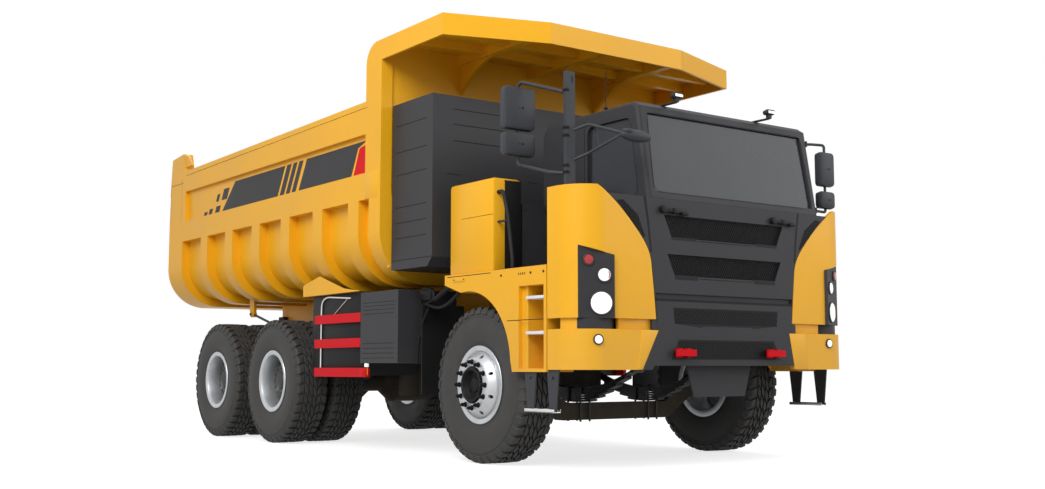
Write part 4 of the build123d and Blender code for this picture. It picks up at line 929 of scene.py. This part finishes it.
# %% Mirrors
# Middle, place behind the front axle, lower and upper end, half width, depth.
mirror_heads = [
    (-1.81, -0.812, 3.066, 3.45, 0.165, 0.09), (-1.81, -0.812, 2.823, 3.029, 0.165, 0.09),
    (1.566, -1.53, 2.759, 3.102, 0.102, 0.08), (1.566, -1.53, 2.53, 2.696, 0.102, 0.08),
]
shells, glasses, screws = bmesh.new(), bmesh.new(), bmesh.new()
for x, place, low, high, half, depth in mirror_heads:
    front, back = behind(place) - depth / 2 - 0.012, behind(place) + depth / 2
    wide, narrow = half + 0.003, half - 0.014
    block(shells, (x - wide, front, low - 0.006), (x + wide, back, high + 0.006), 0.034)
    block(glasses, (x - narrow, back - 0.004, low + 0.014), (x + narrow, back + 0.003, high - 0.014), 0.002)
    for shift, radius in ((-0.018, 0.007), (0.018, 0.011)):
        drum(screws, radius, (x + shift, front, (low + high) / 2), (0, 1, 0), 0.006, 16, 0.001)
piece(shells, "mirror_shells", mirror_trim, "chassis")
piece(glasses, "mirror_glasses", mirror_glass, "chassis")
post_x, post_y = -1.594, behind(-1.295)
for z in (3.37, 3.03, 2.96, 2.69, 2.63):
    low, high = (post_x - 0.058, post_y - 0.03, z - 0.012), (post_x - 0.02, post_y + 0.026, z + 0.012)
    block(screws, low, high, 0.003)
block(screws, (post_x + 0.012, post_y - 0.0215, 3.44), (post_x + 0.026, post_y - 0.019, 3.5), 0.0)
piece(screws, "mirror_screws", black_trim, "chassis")
bm = bmesh.new()
tube(bm, [(-1.4, behind(-1.43), 3.035), (-1.375, behind(-1.44), 2.87)], 0.011)
drum(bm, 0.055, (-1.3, behind(-1.735), 2.965), (0, 0, 1), 0.035, 28, 0.012)
piece(bm, "nose_mirror_strut", mirror_trim, "chassis")

# %% [markdown]
# The bumper's face is one pressed sheet in front of the plain solid. Its third grille and its intake are
# dark plates with a web in front; the plates are painted shade, standing in for the shaded inside behind the
# web. Small notches widen the lower edges of the two upper grilles. The lower yellow corners end in a
# bevelled edge that leans outwards, and above them a recessed strip closes the gap.

# %% Bumper face and lower corners
strip_bottom, strip_height = 1.236, 0.104


def mirrored(points):
    """Right half of a front view, from top to bottom, closed with its left half."""
    return points + [(-x, z) for x, z in reversed(points)]


bumper_outline = [
    (-0.885, 1.502), (-0.88, 1.3), (-0.866, 1.238), (-1.062, 0.889), (-0.945, 0.889), (-0.92, 0.926),
    (0.92, 0.926), (0.846, 1.235), (0.88, 1.3), (0.885, 1.502),
]
bm = bmesh.new()
front_plate(bm, bumper_outline, 1, front_y - 0.002, 0.01)
piece(bm, "bumper_face", front_trim, "chassis", crease=20)
notches = {
    "upper": [(0.69, 2.083), (0.695, 2.057), (0.397, 2.057), (0.37, 2.083)],
    "second": [(0.655, 1.74), (0.66, 1.698), (0.382, 1.698), (0.355, 1.74)],
}
for name, outline in notches.items():
    bm = bmesh.new()
    for side in sides.values():
        front_plate(bm, outline, side, front_y - 0.0015, 0.003)
    piece(bm, f"{name}_grille_face", black_trim, "chassis")
# Dark plates over the third grille and the intake: painted shade for the shaded inside behind the web.
grille_shade_patches = {
    "third": ([(0.688, 1.445), (0.668, 1.303), (0.345, 1.271), (0.31, 1.283)], upright(0.67, 1.3, 1.438)),
    "intake": ([(0.625, 1.16), (0.715, 0.98)], upright(0.62, 0.99, 1.15)),
}
for name, (outline, filled) in grille_shade_patches.items():
    bm = bmesh.new()
    front_plate(bm, mirrored(outline), 1, front_y - 0.0035, 0.004)
    honeycomb(bm, filled, front_y - 0.006, 0.0035)
    piece(bm, f"{name}_grille_face", black_trim, "chassis")
# A black strip fills the gap between the centre panel and the bumper as painted shade in the gap; two short
# dark strips lie under the upper grilles.
bm = bmesh.new()
block(bm, (-0.888, front_y - 0.003, 1.499), (0.888, front_y + 0.026, 1.521))
for z, half in ((2.075, 0.35), (1.728, 0.34)):
    block(bm, (-half, front_y - 0.003, z - 0.016), (half, front_y + 0.002, z - 0.01), 0.001)
piece(bm, "panel_gap_shade_lines", seal_rubber, "chassis")


def corner_strip(bm, radius, thickness, first, last, side):
    """Strip bent round a front corner, from one angle to another."""
    points = []
    for ring, start, end in ((radius, first, last), (radius - thickness, last, first)):
        for step in range(9):
            angle = radians(start + (end - start) * step / 8)
            points.append((side * (corner_turn.x + ring * sin(angle)), corner_turn.y - ring * cos(angle)))
    prism(bm, points, "z", strip_bottom, strip_height)


# The inner edge of each lower corner, from the middle of the truck: at its top and at its foot.
edge_ends = {-1: (0.868, 1.06), 1: (0.846, 0.918)}
for side_name, side in sides.items():
    edge_top, edge_foot = edge_ends[side]
    face_y = front_y - 0.006
    bm = bmesh.new()
    edge_plate = [(edge_top, 1.238), (1.075, 1.238), (1.11, 0.893), (edge_foot, 0.893)]
    front_plate(bm, edge_plate, side, face_y, 0.06)
    rim = [e for e in bm.edges if all(abs(v.co.y - face_y) < 0.001 for v in e.verts)]
    soften(bm, rim, 0.005)
    block(bm, (side * 0.907, front_y + 0.03, strip_bottom), (side * 1.31, front_y + 0.065, 1.34), 0.002)
    corner_strip(bm, 0.27, 0.04, 52, 88, side)
    piece(bm, f"corner_edge_{side_name}", yellow_paint, "chassis")
    bm = bmesh.new()
    corner_strip(bm, 0.268, 0.04, -38, 52, side)
    piece(bm, f"corner_strip_{side_name}", front_trim, "chassis")

# %% [markdown]
# The lockers are bent sheet with soft edges, and a dark sheet lies on the inner half of their
# fronts. The steps hang on straps that narrow downwards. Their lowest tread is a bright grip
# with ribs across, and the treads in the fender are white.

# %% Lockers, steps and deck
deck_level = 1.792
deck_side = 1.75
fender_side = 1.775
locker_front, locker_rear = -0.338, 0.417

# Place behind the front axle and upper end of the steps' straps, and the treads' tops.
straps = ((-1.255, 0.8897), (-0.93, 0.8707))
strap_foot = 0.525
tread_tops = (1.232, 1.547)

hangers, treads, grips = bmesh.new(), bmesh.new(), bmesh.new()
plate_bolts, seams_and_crease_shade, lockers = bmesh.new(), bmesh.new(), bmesh.new()
for side in sides.values():
    out = (side, 0, 0)
    slab(lockers, side, (1.42, deck_side), (locker_front, locker_rear), (deck_level, 2.7), 0.034)
    for place, top in straps:
        strap = [(place - 0.085, top), (place + 0.085, top), (place + 0.045, strap_foot),
                 (place - 0.045, strap_foot)]
        side_plate(hangers, strap, side * 1.745, side * 0.012)
        bolt(plate_bolts, (side * 1.757, behind(place), 0.82), out, 0.011)
    slab(grips, side, (1.705, 1.78), (-1.3, -0.87), (0.52, 0.528), 0.002)
    for x in (1.705, 1.776):
        slab(grips, side, (x, x + 0.004), (-1.3, -0.87), (0.52, 0.55), 0.001)
    for number in range(11):
        place = -1.255 + number * 0.034
        slab(grips, side, (1.709, 1.776), (place - 0.004, place + 0.004), (0.528, 0.545), 0.001)
    for z in tread_tops:
        slab(treads, side, (1.5155, 1.767), (-1.149, -0.871), (z - 0.03, z - 0.004), 0.004)
        for number in range(9):
            place = -1.13 + number * 0.03
            slab(treads, side, (1.52, 1.762), (place - 0.005, place + 0.005), (z - 0.006, z), 0.002)
piece(lockers, "lockers", yellow_paint, "chassis", ["tool_lockers"])
piece(hangers, "step_hangers", mirror_trim, "chassis", ["steps"])
piece(grips, "step_grips", drawn_tube, "chassis")
piece(treads, "step_treads", pale_paint, "chassis")

mats, latches, braces = bmesh.new(), bmesh.new(), bmesh.new()
for side in sides.values():
    out = (side, 0, 0)
    slab(mats, side, (1.15, 1.735), (-1.16, -0.36), (deck_level, deck_level + 0.003), 0.001)
    slab(mats, side, (1.742, 1.77), (-1.19, -0.4), (1.809, 1.814), 0.002)
    slab(latches, side, (1.774, 1.782), (0.09, 0.3), (1.735, 1.775), 0.003)
    for place in (-0.506, -0.961, -1.15):
        bolt(plate_bolts, (side * fender_side, behind(place), 1.753), out, 0.008)
    for place in (0.11, 0.28):
        bolt(plate_bolts, (side * 1.782, behind(place), 1.755), out, 0.005)
    for number in range(4):
        place = -0.87 + number * 0.03
        slab(seams_and_crease_shade, side, (1.7745, 1.776), (place - 0.006, place + 0.006), (1.742, 1.762))
    slab(seams_and_crease_shade, side, (1.7745, 1.776), (-1.15, -0.6), (1.33, 1.337))
    slab(seams_and_crease_shade, side, (1.7495, 1.7506), (-0.33, 0.2), (2.345, 2.349))
    slab(seams_and_crease_shade, side, (1.745, 1.7755), (-0.334, 0.415), (1.786, 1.793))
    slab(seams_and_crease_shade, side, (1.425, 1.618), (-0.3385, -0.33), (1.8, 2.68), 0.002)
    tube(braces, [(side * 1.69, behind(-0.468), 2.276), (side * 1.69, behind(locker_front), 2.276)], 0.013)
    drum(braces, 0.034, (side * 1.69, behind(-0.57), 1.797), (0, 0, 1), 0.008, 24, 0.002)
for z in (1.86, 2.13, 2.42):
    for x in (-1.135, -1.375):
        bolt(plate_bolts, (x, behind(-0.33), z), (0, -1, 0), 0.008)
piece(mats, "deck_mats", black_trim, "chassis")
piece(latches, "fender_latches", yellow_paint, "chassis")
piece(braces, "handrail_braces", mirror_trim, "chassis")

# %% [markdown]
# Thin pressed lines keep the big flat sheets of the cabinets from drumming. They are strips a few
# millimetres high, in the colour of a shadow: painted shade in the folds of the pressed lines.

# %% Pressed lines on cabinets and boxes
cabinet_side = 1.85
cabinet_front = 0.5805
side_lines = [(z, 0.7, 1.3) for z in (2.242, 2.401, 2.563, 2.907, 3.147, 3.43)] + [(2.013, 0.584, 1.378)]
front_lines = [(z, 0.97, 1.61) for z in (3.53, 3.373, 3.204)]
front_lines += [(2.858, 1.517, 1.678), (2.858, 0.527, 0.652)]
box_lines = (1.6, 1.562, 1.522, 1.48, 1.165, 1.113, 1.061, 1.01)
# Each pressed line is a dark strip of painted shade in its fold; the fender strips added earlier are dark
# seams.
for side in sides.values():
    inside = side * (cabinet_side - 0.0005)
    for z, start, end in side_lines:
        block(seams_and_crease_shade, (inside, behind(start), z - 0.004), (side * 1.8512, behind(end), z + 0.004))
    for z in box_lines:
        block(seams_and_crease_shade, (inside, behind(1.311), z - 0.003), (side * 1.8508, behind(1.977), z + 0.003))
    for z, start, end in front_lines:
        slab(seams_and_crease_shade, side, (start, end), (cabinet_front, cabinet_front + 0.0025), (z - 0.004, z + 0.004))
    for place in (0.70, 1.26):
        drum(plate_bolts, 0.022, (side * 1.6, behind(place), 3.676), (0, 0, 1), 0.016, 20, 0.003)
piece(seams_and_crease_shade, "sheet_seams_and_crease_shade", seal_rubber, "chassis")

# %% [markdown]
# Beside the dark tank stand three red bars. A bright handrail bends over them, and the lowest
# bar runs on under the box to a small white marker lamp.

# %% Tank guards
guard = [(3.443, 1.737), (3.446, 1.869), (3.024, 1.958), (2.436, 1.788), (2.04, 1.74)]
rails, bars, markers = bmesh.new(), bmesh.new(), bmesh.new()
brackets, sheets = bmesh.new(), bmesh.new()
for side in sides.values():
    bends = [(2.32, 1.674), (2.91, 1.712), (3.03, 1.66), (3.032, 0.91)]
    tube(rails, [(side * 1.812, behind(a), z) for a, z in bends], 0.011, 0.09)
    tube(rails, [(side * 1.806, behind(2.42), 1.669), (side * 1.806, behind(2.886), 1.425)], 0.005)
    slab(bars, side, (1.8, 1.85), (1.899, 2.04), (0.807, 0.907), 0.004)
    for z in (0.857, 1.18, 1.455):
        slab(bars, side, (1.7995, 1.8515), (3.1, 3.13), (z - 0.051, z + 0.051), 0.006)
    slab(markers, side, (1.82, 1.85), (1.885, 1.935), (0.915, 0.955), 0.004)
    slab(brackets, side, (1.83, 1.836), (1.89, 1.9), (0.83, 0.957), 0.001)
    slab(sheets, side, (1.66, 1.74), (3.272, 3.36), (0.87, 1.73), 0.02)
    slab(sheets, side, (1.7985, 1.8015), (2.06, 3.262), (0.825, 1.732), 0.001)
    side_plate(brackets, guard, side * 1.84, side * 0.01)
piece(rails, "tank_handrails", drawn_tube, "chassis")
piece(bars, "guard_bar_ends", red_paint, "chassis")
piece(markers, "side_markers", clear_lens, "chassis")
piece(brackets, "tank_stone_guards", yellow_paint, "chassis")
piece(sheets, "tank_side_sheets", black_trim, "chassis")

# %% [markdown]
# Air and oil run in steel pipes between the front wheel and the box: a closed loop round a
# small valve block, a thick pipe up into the fender, and the curved edge of the flap behind
# the tyre.

# %% Pipes behind the front wheel
pipe_x = 1.65
loop = [(1.123, 1.7), (1.121, 1.584), (1.06, 1.537), (0.85, 1.6), (0.863, 1.69), (0.99, 1.715)]
# Points as (distance behind the front axle, height), then the radius and the bend.
pipes = [
    ([(0.83, 1.6), (0.79, 1.61), (0.6, 1.7), (0.44, 1.71)], 0.028, 0.05),
    ([(1.037, 1.56), (0.688, 1.486), (0.3, 1.69)], 0.018, 0.2),
]
flap_edge = [(0.915, 1.51), (1.039, 1.344), (1.107, 1.121), (1.116, 0.947)]
bm = bmesh.new()
for side in sides.values():
    x = side * pipe_x
    tube(bm, [(x, behind(a), z) for a, z in loop], 0.017, 0.05, closed=True)
    block(bm, (x - 0.03, behind(0.88), 1.59), (x + 0.03, behind(1.1), 1.7), 0.02)
    for route, radius, bend in pipes:
        tube(bm, [(x, behind(a), z) for a, z in route], radius, bend)
    tube(bm, [(side * 1.68, behind(a), z) for a, z in flap_edge], 0.013, 0.15)
piece(bm, "wheel_house_pipes", black_trim, "chassis")

# %% [markdown]
# Leaf springs are stacks of curved bars. One function draws a leaf as a thin arch, and one
# bends a clamp round the stack. The packs in front curve upwards to their eyes, and those
# behind rest their ends on the axles.

# %% Leaf springs
leaf_thickness = 0.021
leaf_step = 0.0235
tandem = behind(4.14 + 0.872)


def leaf(bm, x0, x1, middle, half, z, rise):
    """One spring leaf along Y whose ends stand higher than its middle by the rise."""
    steps = [half * (step / 6 - 1) for step in range(13)]
    upper = [(middle + s, z + rise * (s / half) ** 2 + leaf_thickness) for s in steps]
    lower = [(middle + s, z + rise * (s / half) ** 2) for s in reversed(steps)]
    prism(bm, upper + lower, "x", x0, x1 - x0)


def clamp(bm, low, high, y, foot, top, radius):
    """U-bolt over a stack of leaves."""
    low, high = low - 0.014, high + 0.014
    tube(bm, [(low, y, foot), (low, y, top), (high, y, top), (high, y, foot)], radius, 0.02)


leaves, clamps = bmesh.new(), bmesh.new()
for side in sides.values():
    low, high = sorted((side * 0.41, side * 0.5))
    for number in range(6):
        half = 0.89 - 0.13 * number
        leaf(leaves, low, high, front_axle, half, 0.681 - leaf_step * number, 0.2 * (half / 0.89) ** 2)
    for place in (-0.1, 0.1):
        clamp(clamps, low, high, front_axle + place, 0.37, 0.725, 0.011)
    for place in (-0.89, 0.89):
        drum(clamps, 0.032, ((low + high) / 2, front_axle + place, 0.892), (1, 0, 0), 0.13, 24, 0.004)
    low, high = sorted((side * 0.5, side * 0.61))
    for number in range(8):
        half = 0.95 - 0.1 * number
        leaf(leaves, low, high, tandem, half, 0.985 + leaf_step * number, -0.1 * (half / 0.95) ** 2)
    for place in (-0.12, 0.12):
        clamp(clamps, low, high, tandem + place, 0.93, 1.19, 0.013)
    block(clamps, (side * 0.49, tandem - 0.2, 0.95), (side * 0.62, tandem + 0.2, 0.985), 0.006)
piece(leaves, "spring_leaves", dark_steel, "chassis", ["suspension"])
piece(clamps, "spring_clamps", dark_steel, "chassis")

# %% [markdown]
# Under the truck: brake chambers on the drive axles with their hoses, and rows of bolts where
# the cross-members meet the frame rails.

# %% Chambers, hoses and frame bolts
rail_side = 0.5
cross_members = (-1.33, -0.62, 0.64, 1.67, 3.56, 5.012, 6.5)
chambers, hoses = bmesh.new(), bmesh.new()
for axle_place in (4.14, 5.884):
    for side in sides.values():
        centre = Vector((side * 0.78, behind(axle_place - 0.22), 0.85))
        for shift, radius, length, edge in ((0, 0.086, 0.09, 0.012), (-0.05, 0.094, 0.014, 0.004),
                                            (-0.1, 0.086, 0.09, 0.012)):
            drum(chambers, radius, centre + Vector((0, shift, 0)), (0, 1, 0), length, 32, edge)
        block(chambers, centre + Vector((-0.04, 0.04, -0.09)), centre + Vector((0.04, 0.12, -0.04)), 0.004)
        start = centre + Vector((0, -0.145, 0))
        tube(hoses, [start, start + Vector((0, -0.06, 0.02)), start + Vector((-side * 0.1, -0.1, 0.16)),
                     (side * 0.512, start.y - 0.06, 1.12)], 0.009, 0.09)
piece(chambers, "brake_chambers", chassis_paint, "chassis")
piece(hoses, "brake_hoses", seal_rubber, "chassis")
for side in sides.values():
    for place in cross_members:
        for along in (-0.035, 0.035):
            for z in (1.08, 1.155, 1.23):
                bolt(plate_bolts, (side * rail_side, behind(place) + along, z), (side, 0, 0), 0.011)
    for x in (1.06, 1.13, 1.26, 1.33):
        for z in (1.03, 1.11):
            bolt(plate_bolts, (side * x, behind(-1.47), z), (0, -1, 0), 0.01)
piece(plate_bolts, "plate_bolts", dark_steel, "chassis")

# %% [markdown]
# Fine parts of the bed: the line along its top rail, which is painted shade under the rail's step, bolted
# caps on the tail ears, the plates that hang between the twin tyres to knock stones out, and curved gussets
# under the canopy.

# %% Bed fittings
bed_side = 1.975
rail_edge = [(1.69, 3.705), (7.03, 3.645)]
rail_step_shade = rail_edge + [(a, z - 0.008) for a, z in reversed(rail_edge)]
ear_gusset = [(7.1, 3.96), (7.0, 3.93), (6.86, 3.79), (6.86, 3.77), (7.1, 3.77)]
hanger = [(5.665, 1.95), (5.805, 1.95), (5.805, 1.696), (5.765, 1.586), (5.675, 1.586), (5.665, 1.676)]
hanger_x = 1.474
ear_bolts = [(7.2, 3.86), (7.32, 3.87), (7.44, 3.86), (7.2, 3.75), (7.44, 3.75)]
post_bolts = [(place, z) for place in (1.46, 1.68) for z in (3.8, 3.95)]
lines, caps, hangers, rods = bmesh.new(), bmesh.new(), bmesh.new(), bmesh.new()
for side in sides.values():
    out = (side, 0, 0)
    # The strip under the top rail's edge is painted shade under its step; the strips round the tail band are
    # dark lines at its edges.
    side_plate(lines, rail_step_shade, side * (bed_side - 0.0005), side * 0.0005)
    for place in (7.17, 7.6):
        slab(lines, side, (1.9742, bed_side), (place - 0.003, place + 0.003), (2.99, 3.6))
    slab(lines, side, (1.9742, bed_side), (7.12, 7.6), (3.545, 3.552))
    for place, z in ear_bolts:
        bolt(caps, (side * 1.965, behind(place), z), out, 0.014)
    for place, z in post_bolts:
        bolt(caps, (side * 1.962, behind(place), z), out, 0.012)
    slab(caps, side, (1.9735, 1.9765), (1.45, 1.74), (2.703, 2.985), 0.001)
    side_plate(caps, ear_gusset, side * 1.93, side * 0.035)
    pin = (side * hanger_x, behind(5.72), 1.626)
    side_plate(hangers, hanger, side * (hanger_x - 0.02), side * 0.04)
    drum(hangers, 0.035, pin, (1, 0, 0), 0.075, 24, 0.006)
    tube(rods, [pin, (side * hanger_x, behind(5.2), 1.5)], 0.016)
    bolt(rods, (side * (hanger_x + 0.038), behind(5.72), 1.626), out, 0.016)
piece(lines, "bed_lines_and_rail_shade", seal_rubber, "bed")
piece(caps, "bed_bolts", yellow_paint, "bed")
piece(hangers, "ejector_hangers", yellow_paint, "bed")
piece(rods, "ejector_rods", dark_steel, "bed")

wall_y, roof_z = behind(1.436), 4.356
gusset_reach = 0.9
shares = [step / 12 for step in range(13)]
curve = [(wall_y - gusset_reach * t, roof_z - 0.1 - 0.335 * (1 - t) ** 2.4) for t in shares]
bm = bmesh.new()
for x in (-0.95, 0.95):
    prism(bm, [(wall_y, roof_z), *curve, (wall_y - gusset_reach, roof_z)], "x", x - 0.02, 0.04)
piece(bm, "canopy_gussets", yellow_paint, "bed")

# %% [markdown]
# The stripes on the bed are thin coloured plates in the recess of its side. They are given as
# side views, (distance behind the front axle, height), and lean forwards by the same amount.

# %% Stripes on the bed
recess_x = 1.925
stripe_depth = 0.0025
stripe_low, stripe_high = 3.003, 3.357
stripe_lean = 0.205


def leaning(top_front, top_rear, low=stripe_low, high=stripe_high):
    """Stripe between two places at its top edge, leaning forwards as it rises."""
    fall = stripe_lean * (high - low) / (stripe_high - stripe_low)
    return [(top_front, high), (top_rear, high), (top_rear + fall, low), (top_front + fall, low)]


dark_plates = [
    [(1.838, 3.357), (3.251, 3.357), (3.463, 3.003), (2.15, 3.003), (1.995, 3.3), (1.838, 3.345)],
    leaning(3.345, 3.45), leaning(3.505, 3.61), leaning(3.665, 3.785), leaning(3.845, 5.362)
]
dark_plates[-1][-2:] = [(5.785, 3.003), (4.05, 3.003)]
dark_plates += [
    leaning(5.556, 5.735, 3.157, 3.3), leaning(5.868, 5.955, 3.155, 3.25), leaning(5.845, 5.99, 3.005, 3.09),
    leaning(6.115, 6.225, 3.003, 3.075), leaning(6.307, 6.41, 3.003, 3.05),
]
red_plate = [(1.823, 3.312), (1.963, 3.293), (2.095, 3.003), (1.823, 3.003)]
for side_name, outward in sides.items():
    start = outward * (recess_x + 0.0003)
    bm = bmesh.new()
    for plate in dark_plates:
        side_plate(bm, plate, start, outward * stripe_depth)
    piece(bm, f"bed_stripes_{side_name}", front_trim, "bed")
    bm = bmesh.new()
    side_plate(bm, red_plate, start, outward * stripe_depth)
    piece(bm, f"bed_red_plate_{side_name}", red_paint, "bed")

# %% [markdown]
# The studio: a pale floor, a pale sky that only the camera and reflections see as white, one
# large soft lamp from the front right, and weaker ones from the front left and from behind.

# %% Floor, light and camera
bm = bmesh.new()
bmesh.ops.create_grid(bm, x_segments=1, y_segments=1, size=60.0)
mesh = bpy.data.meshes.new("studio_floor")
bm.to_mesh(mesh)
bm.free()
floor = bpy.data.objects.new("studio_floor", mesh)
bpy.context.scene.collection.objects.link(floor)
ground = Finish("studio_floor", "floor")
rays = ground.tree.nodes.new("ShaderNodeLightPath")
seen = Value(ground.tree, rays.outputs["Is Camera Ray"])
glossy = Value(ground.tree, rays.outputs["Is Glossy Ray"])
through = Value(ground.tree, rays.outputs["Is Transmission Ray"])
ground.wear(
    Base_Color=ground.mix(ground.noise(0.4, 2.0), shade(0.46), shade(0.5)),
    Roughness=0.9,
    Emission_Color=shade(1.0),
    Emission_Strength=seen * 0.74 + (glossy + through) * 0.4,
)
mesh.materials.append(ground.material)

world = bpy.data.worlds.new("studio_sky")
bpy.context.scene.world = world
world.use_nodes = True
sky = world.node_tree
background = sky.nodes["Background"]
rays = sky.nodes.new("ShaderNodeLightPath")
seen = Value(sky, rays.outputs["Is Camera Ray"])
glossy = Value(sky, rays.outputs["Is Glossy Ray"])
through = Value(sky, rays.outputs["Is Transmission Ray"])
ambient = 0.5
feed(sky, background.inputs["Strength"], (seen + glossy + through) * (1.0 - ambient) + ambient)
background.inputs["Color"].default_value = shade(1.0)


def soft_lamp(name, place, aim, size, power):
    """Square area lamp pointed at a spot."""
    light = bpy.data.lights.new(name, "AREA")
    light.size = size
    light.energy = power
    lamp = bpy.data.objects.new(name, light)
    bpy.context.scene.collection.objects.link(lamp)
    lamp.location = place
    lamp.rotation_euler = (Vector(aim) - Vector(place)).to_track_quat("-Z", "Y").to_euler()


soft_lamp("key_lamp", (-12.0, -9.0, 11.0), (0, 0, 1.8), 9.0, 1900.0)
soft_lamp("fill_lamp", (9.0, -12.0, 7.0), (0, -2, 1.8), 8.0, 500.0)
soft_lamp("back_lamp", (4.0, 12.0, 10.0), (0, 1, 2.0), 8.0, 700.0)

camera_data = bpy.data.cameras.new("camera")
camera_data.lens = 41.31
camera_data.sensor_width = 36.0
camera_data.clip_end = 500.0
camera = bpy.data.objects.new("camera", camera_data)
camera.location = (-8.144, -12.439, 0.909)
camera.rotation_euler = (radians(95.861), 0, radians(-36.282))
bpy.context.scene.collection.objects.link(camera)
bpy.context.scene.camera = camera
bpy.context.scene.view_settings.view_transform = "Standard"
